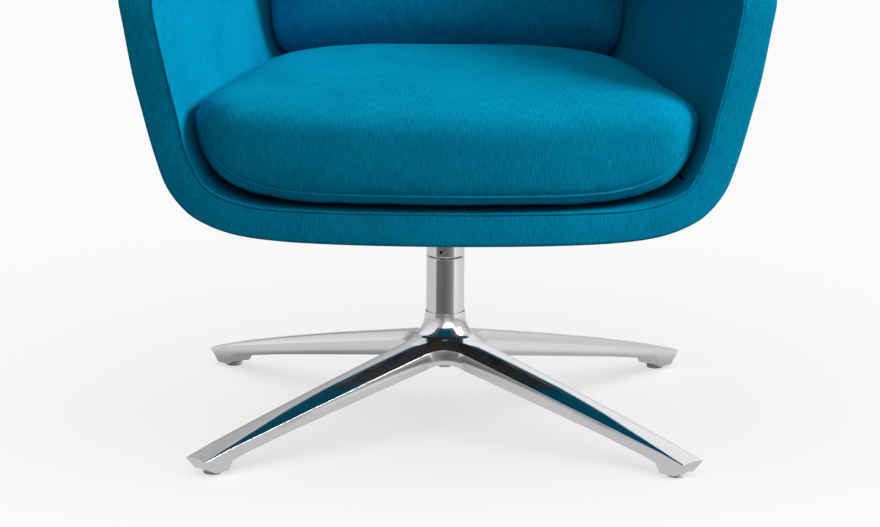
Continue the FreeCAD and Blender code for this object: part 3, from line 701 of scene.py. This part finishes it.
def disc(name, rings, middle, node_name):
    """A sheet of rings of points that close on a middle point."""
    n, m = rings.shape[:2]
    verts = np.concatenate([rings.reshape(-1, 3), middle[None]])
    faces = list(grid_faces(n, m, False, True))
    faces += [(i * m + m - 1, (i + 1) % n * m + m - 1, n * m) for i in range(n)]
    cover(name, verts, faces, verts[:, :2], node_name)


def build_deck():
    """The deck cloth under the seat cushion. At the rail it turns over the edge to the band's seam."""
    u = np.concatenate([np.arange(0.0, DECK_END_U, 5.0), np.arange(DECK_END_U, END_U, 12.0), [END_U]])
    edge = lead(*at_inner(u))
    _, out, _, normal = band_across(u)
    start, shares, run, path = wall_paths(inner, INNER_EYE, edge)
    length = stopped_at(run, deck_reached(path))
    front = u <= DECK_END_U + 12
    rings = []
    for k in range(len(u)):
        first = np.interp(0.0 if front[k] else length[k], run[k], shares) + 0.004
        rings.append(first + (0.985 - first) * np.linspace(0, 1, 30) ** 1.3)
    p = surface_point(inner, INNER_EYE, swing(start[:, None, :], np.array(rings)))
    p = p + unit(p - INNER_EYE) * 0.8
    reach = np.array([3.7, 3.5, 2.2, 0.8])[None, :, None]
    rise = np.array([-3.0, -0.4, 0.8, 0.3])[None, :, None]
    lip = edge[:, None, :] + out[:, None, :] * reach + normal[:, None, :] * rise
    lip = np.where(front[:, None, None], lip, p[:, :1, :] + 0 * lip)
    p = np.concatenate([lip, p], axis=1)
    p = np.concatenate([mirror_x(p[:0:-1]), p[:-1]])
    middle = surface_point(inner, INNER_EYE, np.array([[0, 0, -1.0]]))[0]
    disc("deck_cover", p, middle, "deck_cloth")


def build_dust_cover():
    """The dust cover under the shell: a tapered rectangle with round corners."""
    rim = []
    for a in np.linspace(0, 2 * math.pi, 121)[:-1]:
        c, s = math.cos(a), math.sin(a)
        k = (abs(c) ** 5 + abs(s) ** 5) ** (-1 / 5)
        y = DUST_Y + DUST_LENGTH * s * k
        rim.append(((DUST_HALF - (y - SIDE_REF_Y) * math.tan(outer.lean)) * c * k, y))
    middle = np.array([0, DUST_Y])
    flat = (np.array(rim)[:, None] - middle) * np.linspace(1, 0.04, 14)[None, :, None] + middle
    p = np.concatenate([flat, np.full(flat.shape[:2] + (1,), DUST_Z)], -1)
    disc("dust_cover_sheet", p, np.array([0, DUST_Y, DUST_Z]), "dust_cover")


def build_foam():
    """The moulded foam under the covers, drawn in from both faces of the shell."""
    u = np.concatenate([np.arange(0.0, END_U, 14.0), [END_U]])
    walls = []
    for tub, eye, edge, sink in ((outer, OUTER_EYE, lead(*at_outer(u)), -5.0),
                                 (inner, INNER_EYE, lead(*at_inner(u)), 5.0)):
        start = unit(edge - eye)
        share = np.broadcast_to(0.02 + 0.955 * np.linspace(0, 1, 40), (len(u), 40))
        p = surface_point(tub, eye, swing(start[:, None, :], share))
        walls.append(p + unit(p - eye) * sink)
    half = np.concatenate([walls[0][:, ::-1], walls[1]], axis=1)
    p = np.concatenate([half, mirror_x(half[-2:0:-1])])
    n, m = p.shape[:2]
    verts = np.concatenate([p.reshape(-1, 3), [[0, 0, 306.0], [0, -50.0, 346.5]]])
    faces = list(grid_faces(n, m, False, True))
    faces += [((i + 1) % n * m, i * m, n * m) for i in range(n)]
    faces += [(i * m + m - 1, (i + 1) % n * m + m - 1, n * m + 1) for i in range(n)]
    obj = add("foam_core", verts, faces, FOAM, SEAT)
    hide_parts("foam_tub")


# The cushions: heights of the seat cushion's faces by the distance from its edge, and what changes them
SEAT_TOP = [(0, 434), (2, 446), (8, 456), (18, 463.5), (34, 468.5), (60, 472.5), (100, 476.5),
            (150, 479), (320, 481)]
SEAT_LOW = [(0, 434), (0.5, 398), (2, 377), (5, 362), (9, 354.5), (16, 350), (28, 348),
            (60, 347), (320, 346.5)]
SEAT_LIFT = [(0, 0), (150, 0), (190, 2.5), (232, 9), (259, 18), (277, 29), (290, 42), (310, 60)]
SEAT_EDGE_FALL = [(-230, 0), (-100, 6), (0, 12), (120, 17)]     # how much lower the sides are further back
SEAM_CLIMB = [(0, 362), (150, 362), (190, 364), (225, 370), (250, 379), (268, 390), (281, 406), (290, 426),
              (296, 448), (299, 456)]                           # height of the front seam by x
SEAM_SIDE_Z = 453.0         # height of the seam along the sides
SEAT_MIDDLE = np.array([0, -95.0])
SEAT_HALF = 313.0           # half-width at the front
SEAT_TAPER = math.radians(9.85)
SEAT_FRONT, SEAT_BOW, SEAT_REAR = -385.0, 973.0, 196.0          # front, its bow's radius, and rear
BACK_LEAN_IN = math.radians(14.0)
BACK_FOOT = (214.0, 424.0)  # lower end of the back cushion's rear face, as y and z
BACK_HALF, BACK_HEAD = 231.0, 380.0     # half-width at the foot, and height
VOXEL = 6.0                 # mesh size of the cushions
PRESSURE = 4.0
SIM_FRAMES = 20


def rear_fall(y):
    """How much lower the seat cushion's top lies towards its rear."""
    return 0.0009 * np.clip(y + 40, 0, None) ** 2


def edge_fall(y):
    return np.interp(y, *zip(*SEAT_EDGE_FALL))


def round_min(a, b, radius):
    both = (a < radius) & (b < radius)
    return np.where(both, radius - np.hypot(radius - a, radius - b), np.minimum(a, b))


def seat_inside(p, gap):
    x, y, z = np.abs(p[..., 0]), p[..., 1], p[..., 2]
    waist = 4.0 * np.clip(1 - ((y - SEAT_MIDDLE[1]) / 230) ** 2, 0, 1)
    side = (SEAT_HALF - waist - x) * math.cos(SEAT_TAPER) - (y - SIDE_REF_Y) * math.sin(SEAT_TAPER)
    front = SEAT_BOW - np.hypot(x, y - (SEAT_FRONT + SEAT_BOW))
    plan = round_min(round_min(side, front, 66.0), SEAT_REAR - y, 90.0)
    top = np.interp(plan, *zip(*SEAT_TOP)) - rear_fall(y) \
        - edge_fall(y) * np.exp(-np.clip(plan, 0, None) / 42.0)
    low = np.interp(plan, *zip(*SEAT_LOW)) + np.interp(x, *zip(*SEAT_LIFT))
    return (plan > 0) & (z < top) & (z > low) & (inner.depth(p) > gap)


def back_inside(p, gap):
    """The back cushion, in axes that lean back with it: x, up and depth."""
    x, y, z = np.abs(p[..., 0]), p[..., 1] - BACK_FOOT[0], p[..., 2] - BACK_FOOT[1]
    up = z * math.cos(BACK_LEAN_IN) + y * math.sin(BACK_LEAN_IN)
    deep = -y * math.cos(BACK_LEAN_IN) + z * math.sin(BACK_LEAN_IN)
    side = BACK_HALF + 12.0 * up / 352.0 - x
    head = BACK_HEAD - up - (x / 236.0) ** 2 * 10.0
    plan = round_min(round_min(side, up, 34.0), head, 46.0)
    front = np.interp(plan, [0, 1, 12, 34, 68, 120, 200], [64, 68, 86, 102, 112, 116, 117])
    rear = np.interp(plan, [0, 7, 22, 200], [38, 14, 0, 0])
    return (plan > 0) & (deep < front) & (deep > rear) & (inner.depth(p) > gap) \
        & ~seat_inside(p - np.array([0, 0, 2.5]), -5.0)


def star_mesh(name, centre, inside, flatten, node_name):
    """A closed mesh where rays from the centre leave a shape, with rays spread over a flat form."""
    a, b = np.meshgrid(np.linspace(0, math.pi, 110)[1:-1],
                       np.linspace(0, 2 * math.pi, 220, endpoint=False), indexing="ij")
    d = np.stack([np.sin(a) * np.cos(b), np.sin(a) * np.sin(b), np.cos(a)], -1)
    d = unit(d * np.array(flatten))

    def leave(ways):
        far = np.full(ways.shape[:-1], 700.0)
        r = bisect(lambda r: inside(centre + ways * r[..., None]), 0 * far, far, 30)
        return centre + ways * r[..., None]

    p, poles = leave(d), leave(np.array([[0, 0, 1.0], [0, 0, -1.0]]))
    n, m = p.shape[:2]
    faces = [(i * m + j, (i + 1) * m + j, (i + 1) * m + (j + 1) % m, i * m + (j + 1) % m)
             for i in range(n - 1) for j in range(m)]
    for j in range(m):
        k = (j + 1) % m
        faces += [(n * m, j, k), (n * m + 1, (n - 1) * m + k, (n - 1) * m + j)]
    obj = add(name, np.concatenate([p.reshape(-1, 3), poles]), faces, CUSHION_LIGHTENED, SEAT)
    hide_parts(node_name)
    return obj


def project_uv(obj, along):
    """The cloth's crosswise and lengthwise directions: u is x, v is the given mix of y and z."""
    co = vertex_array(obj.data)
    lay_cloth(obj.data, np.stack([co[:, 0], co @ np.array(along)], -1))


def stuff(obj, cap, keep):
    """Fills a cushion by cloth simulation under pressure, moving no point further than the cap."""
    remesh = obj.modifiers.new("remesh", "REMESH")
    remesh.mode = "VOXEL"
    remesh.voxel_size = VOXEL * MM
    apply_modifiers(obj)
    rest = vertex_array(obj.data)
    cloth = obj.modifiers.new("cloth", "CLOTH")
    cloth.settings.use_pressure = True
    cloth.settings.uniform_pressure_force = PRESSURE
    cloth.settings.effector_weights.gravity = 0.0
    cloth.settings.quality = 5
    scene = bpy.context.scene
    for step in range(1, SIM_FRAMES + 1):
        scene.frame_set(step)
    apply_modifiers(obj)
    scene.frame_set(1)
    moved = vertex_array(obj.data) - rest
    size = np.linalg.norm(moved, axis=1, keepdims=True)
    moved *= np.minimum(1, cap * MM / np.maximum(size, 1e-9))
    for _ in range(8):
        away = ~keep((rest + moved) / MM)
        moved[away] *= 0.7
    obj.data.vertices.foreach_set("co", (rest + moved).ravel())
    sub = obj.modifiers.new("smooth", "SUBSURF")
    sub.levels = sub.render_levels = 1
    apply_modifiers(obj)
    smooth(obj.data)


def seam_line(seat):
    """Points of the seam round the cushion, found by rays at the height that it has there."""
    tree = BVHTree.FromObject(seat, bpy.context.evaluated_depsgraph_get())
    points = []
    for a in np.linspace(0, 2 * math.pi, 720, endpoint=False):
        way = np.array([math.cos(a), math.sin(a)])
        z = 400.0
        for _ in range(8):
            start = Vector((*(SEAT_MIDDLE + way * 600) * MM, z * MM))
            hit = tree.ray_cast(start, Vector((*-way, 0)))[0]
            x, y = abs(hit.x) / MM, hit.y / MM
            aim = np.interp(x, *zip(*SEAM_CLIMB))
            if y > -315:
                aim = SEAM_SIDE_Z - edge_fall(y) - rear_fall(y)
            z += (float(aim) - z) * 0.7
        points.append(np.array(hit) / MM)
    p = np.array(points)
    for _ in range(14):
        p = (np.roll(p, 1, 0) + 2 * p + np.roll(p, -1, 0)) / 4
    return p


def seat_seam(seat):
    """The French seam round the cushion's lower edge: a raised ridge in a soft crease."""
    p = seam_line(seat)
    near = KDTree(len(p))
    for k, q in enumerate(p):
        near.insert(Vector(q), k)
    near.balance()
    mesh = seat.data
    co = vertex_array(mesh)
    normal = np.array([v.vector for v in mesh.vertex_normals])
    gap = np.array([near.find(Vector(q))[2] for q in co / MM])
    co -= normal * (MM * 1.9 * np.exp(-(gap / 4.6) ** 2))[:, None]
    mesh.vertices.foreach_set("co", co.ravel())
    mesh.update()
    tangent = unit(np.roll(p, -1, 0) - np.roll(p, 1, 0))
    out = p - np.array([*SEAT_MIDDLE, 400.0])
    out = (out - (out * tangent).sum(1, keepdims=True) * tangent) * np.array([1, 1, 0.3])
    out = unit(out)
    up = np.cross(tangent, out)
    run = arc_length(p)
    turns = [2 * math.pi * j / 10 for j in range(10)]
    verts = [p[k] + out[k] * (1.5 * math.cos(a) - 0.5) + up[k] * 1.9 * math.sin(a)
             for k in range(len(p)) for a in turns]
    uv = [(1.7 * a, run[k]) for k in range(len(p)) for a in turns]
    ridge = add("seat_cushion_seam", verts, ring_faces(len(p), len(turns)), CUSHION_LIGHTENED, SEAT, uv)


def build_cushions():
    seat = star_mesh("seat_cushion_pad", np.array([*SEAT_MIDDLE, 420.0]), lambda p: seat_inside(p, 1.2),
                     (1.0, 1.0, 0.5), "seat_cushion")
    stuff(seat, 2.5, lambda p: inner.depth(p) > 1.0)
    project_uv(seat, (0, 1, 1))
    seat_seam(seat)
    back = star_mesh("back_cushion_pad", np.array([0, 205.0, 640.0]), lambda p: back_inside(p, 1.5),
                     (1.0, 0.6, 1.0), "back_cushion")
    stuff(back, 5.0, lambda p: (inner.depth(p) > 1.0) & ~seat_inside(p, 0.0))
    project_uv(back, (0, 0.24, 0.97))


# The pedestal. A leg's station is its radius, top, half-widths of crest and crease, facet and side.
LEG_STATIONS = [(60, 105.6, 13.0, 25.0, 10.0, 20.0), (120, 93.2, 12.0, 23.4, 9.6, 18.2),
                (200, 76.6, 11.4, 21.6, 8.8, 16.4), (290, 56.4, 12.2, 19.8, 6.6, 14.2),
                (360, 39.4, 14.2, 18.4, 3.8, 14.0), (381, 34.0, 15.2, 18.1, 2.6, 15.4),
                (388, 32.1, 15.5, 18.0, 2.2, 25.3), (400, 28.6, 15.9, 17.9, 1.7, 22.1),
                (425, 21.5, 16.8, 17.7, 0.8, 15.9)]
TIP_ROWS = [379, 381, 383, 385, 387, 389, 393, 400, 408, 416, 421, 424, 425]
NECK = [(38.0, 110.0), (34.6, 112.4), (32.0, 115.8), (29.6, 120.6), (27.6, 126.0), (26.0, 132.0),
        (24.9, 140.6)]
NECK_RING = 120
CAST_WALL = 4.2
CROWN = 1.1                 # how far the legs' top faces bulge
SOLID_FROM = 385            # radius where a leg's hollow ends
SLANT_FROM, TIP_R, TIP_FOOT_R = 389, 425, 409.5     # the tip's end face slopes in towards the foot
VALLEY_R = 35.0             # radius of the fillet between two legs
TUBE_PROFILE = [(21.5, 84), (24, 84), (24, 209.9), (24, 210.2), (23.7, 211.1), (23.0, 211.5), (21.5, 211.5)]
COLLAR_PROFILE = [(12.52, 206), (20.6, 206), (20.6, 212.5), (23.0, 212.5), (23.7, 212.9), (24, 213.8),
                  (24, 214.1), (24, 295.7), (20.5, 295.7), (20.5, 228), (12.52, 228)]
GLIDE_PROFILE = [(0, 0), (9.4, 0), (10.4, 0.5), (10.9, 1.6), (11, 4.8), (4, 4.8), (4, 14), (0, 14)]
GLIDE_FROM_AXIS = 398
SCREW_Z, SCREW_R, SCREW_TURN = 220, 2.1, math.radians(-14)      # the grub screw's hole
SMOOTH_BELOW = 40           # a turned piece's edges are sharp from this angle on


def leg_row(r):
    """Half a section of a leg, from the ridge over the crest and down, and back along the hollow."""
    table = np.array(LEG_STATIONS).T
    top, crest, crease, facet, side = [np.interp(r, table[0], column) for column in table[1:]]
    foot_r = r - max(r - SLANT_FROM, 0) * (TIP_R - TIP_FOOT_R) / (TIP_R - SLANT_FROM)
    low = top - facet - side
    foot = crease + 0.8
    lid = low + 0.6 if r > SOLID_FROM else top - CAST_WALL
    edge_lid = max(min(lid, top - CAST_WALL - facet * 0.8), low + 0.5)
    return [(r, 0, top + CROWN), (r, crest * 0.35, top + CROWN * 0.88), (r, crest * 0.7, top + CROWN * 0.51),
            (r, crest, top), (r, crease, top - facet),
            (r + (foot_r - r) * 0.65, foot - 0.3, low + side * 0.35), (foot_r, foot, low),
            (foot_r, foot - 3.6, low), (foot_r, crease - CAST_WALL, edge_lid), (foot_r, 0, lid)]


def valley_rows(count):
    """Rows round the fillet between two legs, from the ridge of one leg to that of the next."""
    hub_r, hub_top, _, _, facet, side = LEG_STATIONS[0]
    neck_r, neck_z = NECK[0]
    turns = np.linspace(0, math.pi / 2, 30)
    bend = [(neck_r * math.cos(a), neck_r * math.sin(a)) for a in turns]
    path = np.array([(hub_r, 0.0), *bend, (0.0, hub_r)])
    run = arc_length(path)
    rows = []
    for share in np.arange(1, count) / count:
        head = [np.interp(share * run[-1], run, path[:, k]) for k in (0, 1)]
        turn = math.pi / 2 * share
        lift = math.sin(2 * turn)
        near = max(0.0, 1 - abs(math.hypot(*head) - neck_r) / (hub_r - neck_r))

        def at(rho, z):
            return hub_r - math.sin(turn) * rho, hub_r - math.cos(turn) * rho, z

        under = (head[0] * 0.5, head[1] * 0.5, hub_top - CAST_WALL - 6 * near)
        head = np.array([*head, hub_top + CROWN + (neck_z - hub_top - CROWN) * near])
        crest = np.array(at(VALLEY_R + 12, hub_top + 3.9 * lift))
        low, high = hub_top - facet - side + 5.2 * lift, hub_top - facet + 3.8 * lift
        rows.append([*[tuple(head * (1 - w) + crest * w) for w in (0.0, 0.35, 0.7, 1.0)],
                     at(VALLEY_R, high), at(VALLEY_R - 0.5, low + (high - low) * 0.35),
                     at(VALLEY_R - 0.8, low), at(VALLEY_R + 2.8, low),
                     at(VALLEY_R + CAST_WALL, high - 6), under])
    return rows


def quarter_rows():
    """Rows of points from the tip of one leg, round the valley, to the tip of the next."""
    leg = np.array([leg_row(r) for r in np.concatenate([np.linspace(60, 374, 44), TIP_ROWS])])
    return np.concatenate([leg[::-1], valley_rows(28), leg[:, :, [1, 0, 2]]])


def build_star():
    rows = quarter_rows()
    n, m = rows.shape[:2]
    verts, faces = [], []
    for quarter in range(4):
        turn = np.array(Matrix.Rotation(math.radians(45 + 90 * quarter), 3, "Z"))
        base = len(verts)
        verts.extend(rows.reshape(-1, 3) @ turn.T)
        faces.extend(base + grid_faces(n, m))
        faces += [base + np.arange(m), base + (n - 1) * m + np.arange(m)[::-1]]
    base, ring = len(verts), NECK_RING
    neck = smooth_curve(NECK, 8)
    turns = 2 * math.pi * np.arange(ring) / ring
    verts.extend([r * math.cos(a), r * math.sin(a), z] for r, z in neck for a in turns)
    faces += [(base + j * ring + k, base + j * ring + (k + 1) % ring,
               base + (j + 1) * ring + (k + 1) % ring, base + (j + 1) * ring + k)
              for j in range(len(neck) - 1) for k in range(ring)]
    obj = add("polished_star_base", verts, faces, ALLOY, BASE)
    weld(obj, 0.02)
    soft = obj.modifiers.new("edges", "BEVEL")
    soft.width = 1.1 * MM
    soft.segments = 3
    soft.limit_method = "ANGLE"
    soft.angle_limit = math.radians(22)
    apply_modifiers(obj)
    smooth(obj.data)
    sharpen(obj, 38)
    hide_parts("star_base")


def turned(profile, ring, x=0.0, y=0.0):
    """The points of a profile in radius and height, at each step of a turn about an upright axis."""
    turns = 2 * math.pi * np.arange(ring) / ring
    return [(x + r * math.cos(a), y + r * math.sin(a), z) for a in turns for r, z in profile]


def lathe(name, profile, body, node_name):
    """A turned piece of the column from its closed profile."""
    obj = add(name, turned(profile, 128), ring_faces(128, len(profile)), TUBE, body)
    weld(obj, 0.001)
    sharpen(obj, SMOOTH_BELOW)
    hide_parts(node_name)
    return obj


def build_column():
    lathe("column_tube_polished", TUBE_PROFILE, BASE, "column_tube")
    collar = lathe("collar_polished", COLLAR_PROFILE, SEAT, "collar")
    bpy.ops.mesh.primitive_cylinder_add(vertices=32, radius=SCREW_R * MM, depth=30 * MM)
    cutter = bpy.context.object
    cutter.rotation_euler = (math.pi / 2, 0, SCREW_TURN)
    cutter.location = (30 * MM * math.sin(SCREW_TURN), -30 * MM * math.cos(SCREW_TURN), SCREW_Z * MM)
    bpy.context.view_layer.update()
    cut = collar.modifiers.new("screw_hole", "BOOLEAN")
    cut.object = cutter
    cut.operation = "DIFFERENCE"
    cut.solver = "EXACT"
    apply_modifiers(collar)
    sharpen(collar, SMOOTH_BELOW)
    bpy.data.objects.remove(cutter)


def build_glides():
    verts, faces = [], []
    for quarter in range(4):
        a = math.radians(45 + 90 * quarter)
        faces += ring_faces(48, len(GLIDE_PROFILE), len(verts), False)
        verts += turned(GLIDE_PROFILE, 48, GLIDE_FROM_AXIS * math.cos(a), GLIDE_FROM_AXIS * math.sin(a))
    obj = add("nylon_glides", verts, faces, NYLON, BASE)
    weld(obj, 0.001)
    sharpen(obj, SMOOTH_BELOW)
    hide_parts("glides")


# The set, in metres
LENS = 179.73
CAMERA_AT = (-0.0069, -5.4365, 1.3803)
CAMERA_DOWN, CAMERA_TURN = math.radians(12.242), math.radians(0.378)
BACKDROP = (0.955, 0.955, 0.957, 1)
SKY_FILL = 0.15             # level of the sky on what isn't seen directly
SKY = [(0.0, (0.50, 0.50, 0.51)), (0.12, (0.55, 0.55, 0.56)), (0.45, (0.93, 0.93, 0.93)),
       (1.0, (0.85, 0.85, 0.85))]
FLAGS = [(0.0, (1, 1, 1)), (0.16, (0.95, 0.95, 0.95)), (0.30, (0.42, 0.42, 0.43)),
         (0.42, (0.36, 0.36, 0.37)), (0.52, (1, 1, 1)), (0.66, (1.0, 1.0, 1.0)), (0.80, (0.62, 0.62, 0.63)),
         (1.0, (0.9, 0.9, 0.9))]
LAMPS = [("key", 3.6, 24, (0.84, -0.13, 0.55)), ("fill", 0.98, 80, (0.30, -0.70, 1.0)),
         ("floor_lamp", 2.66, 110, (0.15, -0.35, 1.0)), ("floor_front", 0.45, 60, (0.05, -0.9, 1.0))]
FLOOR_HALF = 30.0
FLOOR_GLOW = 0.64           # share of the floor's look that is its own light
FLOOR_DIM = (0.27, 0.27, 0.27, 1)       # tone that the chair's underside is lit by
# Painted reflection of the floor in the polished metal, by azimuth: near the chair a painted shade, further
# out darker bands towards the front.
NEAR_PAINTED_SHADE = [(0.0, 0.36), (0.2, 0.27), (0.26, 0.36), (0.33, 0.60), (0.67, 0.60), (0.76, 0.48), (1.0, 0.40)]
FAR_PAINTED_REFLECTION = [(0.0, 0.64), (0.335, 0.66), (0.353, 0.17), (0.50, 0.13), (0.58, 0.21), (0.635, 0.36),
             (0.662, 0.97), (0.74, 0.80), (1.0, 0.64)]
CAD_FINISH = {
    "star_base": ALLOY, "glides": NYLON, "column_tube": TUBE, "column_plug": ZINC, "base_bolt": ZINC,
    "spindle_bushes": ACETAL, "thrust_washer": ZINC, "spindle": ZINC, "retaining_clip": BLACK,
    "collar": TUBE, "grub_screw": BLACK, "mounting_plate": BLACK, "plate_bolts": ZINC,
    "tee_nuts": ZINC, "seat_board": PLY, "arm_frame": BLACK, "foam_tub": FOAM, "grip_strips": TAPE,
}


def build_camera():
    data = bpy.data.cameras.new("camera")
    data.lens = LENS
    data.sensor_width = 36.0
    cam = put("camera", data)
    cam.matrix_world = Matrix.Translation(CAMERA_AT) @ Matrix.Rotation(math.pi / 2 - CAMERA_DOWN, 4, "X") \
        @ Matrix.Rotation(CAMERA_TURN, 4, "Z")
    bpy.context.scene.camera = cam


def build_world():
    """A plain backdrop for the eye, and for reflections a studio with dark flags beside the camera."""
    scene = bpy.context.scene
    scene.view_settings.view_transform = "Standard"
    world = bpy.data.worlds.new("studio")
    scene.world = world
    world.use_nodes = True
    tree = world.node_tree
    back = tree.nodes["Background"].inputs
    ray = node(tree, "ShaderNodeLightPath").outputs
    seen = calc(tree, "MAXIMUM", ray["Is Camera Ray"], ray["Is Glossy Ray"])
    seen = calc(tree, "MAXIMUM", seen, ray["Is Transmission Ray"])
    tree.links.new(span(tree, seen, 0.0, 1.0, SKY_FILL, 1.0), back["Strength"])
    way = node(tree, "ShaderNodeTexCoord").outputs["Generated"]
    part = node(tree, "ShaderNodeSeparateXYZ", {0: way}).outputs
    flags = ramp(tree, span(tree, part["X"], -1.0, 1.0), FLAGS)
    studio = mix(tree, 0.8, ramp(tree, part["Z"], SKY), flags, blend_type="MULTIPLY")
    tree.links.new(mix(tree, ray["Is Glossy Ray"], BACKDROP, studio), back["Color"])


def build_lamps():
    for name, energy, angle, place in LAMPS:
        data = bpy.data.lights.new(name, "SUN")
        data.energy = energy
        data.angle = math.radians(angle)
        obj = put(name, data)
        obj.location = place
        obj.rotation_euler = (-Vector(place)).to_track_quat("-Z", "Y").to_euler()


def build_floor():
    """A white floor that the polished legs see as a painted reflection: painted shade near the chair and
    darker bands towards the front, by azimuth and distance.
    """
    mat, tree, bsdf = material("floor", Roughness=0.9, Specular_IOR_Level=0.0)
    place = object_place(tree)
    ray = node(tree, "ShaderNodeLightPath").outputs
    direct = calc(tree, "MAXIMUM", ray["Is Camera Ray"], ray["Is Glossy Ray"])
    bright = ramp(tree, noise(tree, place, 0.8, 1.0), [(0, (0.92, 0.92, 0.922)), (1, (0.935, 0.935, 0.935))])
    tree.links.new(mix(tree, direct, FLOOR_DIM, bright), bsdf.inputs["Base Color"])
    white = node(tree, "ShaderNodeEmission", {"Color": (0.96, 0.96, 0.962, 1)}).outputs[0]
    glow = calc(tree, "MULTIPLY", direct, FLOOR_GLOW)
    plain = node(tree, "ShaderNodeMixShader", {0: glow, 1: bsdf.outputs[0], 2: white}).outputs[0]
    here = node(tree, "ShaderNodeSeparateXYZ", {0: place}).outputs
    azimuth = calc(tree, "ARCTAN2", here["X"], calc(tree, "MULTIPLY", here["Y"], -1.0))
    around = span(tree, azimuth, -math.pi, math.pi)
    distance = node(tree, "ShaderNodeVectorMath", {0: place}, operation="LENGTH").outputs["Value"]
    # Glossy rays see the floor glow in these painted tones: a painted reflection with painted shade near the
    # chair.
    tone = mix(tree, span(tree, distance, 0.42, 0.58), greys(tree, around, NEAR_PAINTED_SHADE),
               greys(tree, around, FAR_PAINTED_REFLECTION))
    mirrored = node(tree, "ShaderNodeEmission", {"Color": tone}).outputs[0]
    both = node(tree, "ShaderNodeMixShader", {0: ray["Is Glossy Ray"], 1: plain, 2: mirrored}).outputs[0]
    tree.links.new(both, tree.nodes["Material Output"].inputs["Surface"])
    mesh = bpy.data.meshes.new("floor")
    s = FLOOR_HALF
    mesh.from_pydata([(-s, -s, 0), (s, -s, 0), (s, s, 0), (-s, s, 0)], [], [(0, 1, 2, 3)])
    mesh.materials.append(mat)
    put("floor", mesh)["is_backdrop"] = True


def link_lamps():
    """Key and fill light the chair and the others the floor. Only the base shades floor_lamp."""
    chair, ground, stand = [bpy.data.collections.new(name) for name in ("chair", "ground", "stand")]
    for obj in bpy.context.scene.objects:
        if obj.type == "MESH":
            (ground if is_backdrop(obj) else chair).objects.link(obj)
    for obj in chair.objects:
        if body_of(obj) == [BASE]:
            stand.objects.link(obj)
    for name, group in (("key", chair), ("fill", chair), ("floor_lamp", ground), ("floor_front", ground)):
        bpy.data.objects[name].light_linking.receiver_collection = group
    bpy.data.objects["floor_lamp"].light_linking.blocker_collection = stand


def finish_cad():
    for name, mat in CAD_FINISH.items():
        obj = frame["nodes"][name]
        obj.data.materials.clear()
        obj.data.materials.append(mat)


build_camera()
build_world()
build_lamps()
build_floor()
finish_cad()
build_shell()
build_deck()
build_dust_cover()
build_foam()
build_cushions()
build_star()
build_column()
build_glides()
link_lamps()
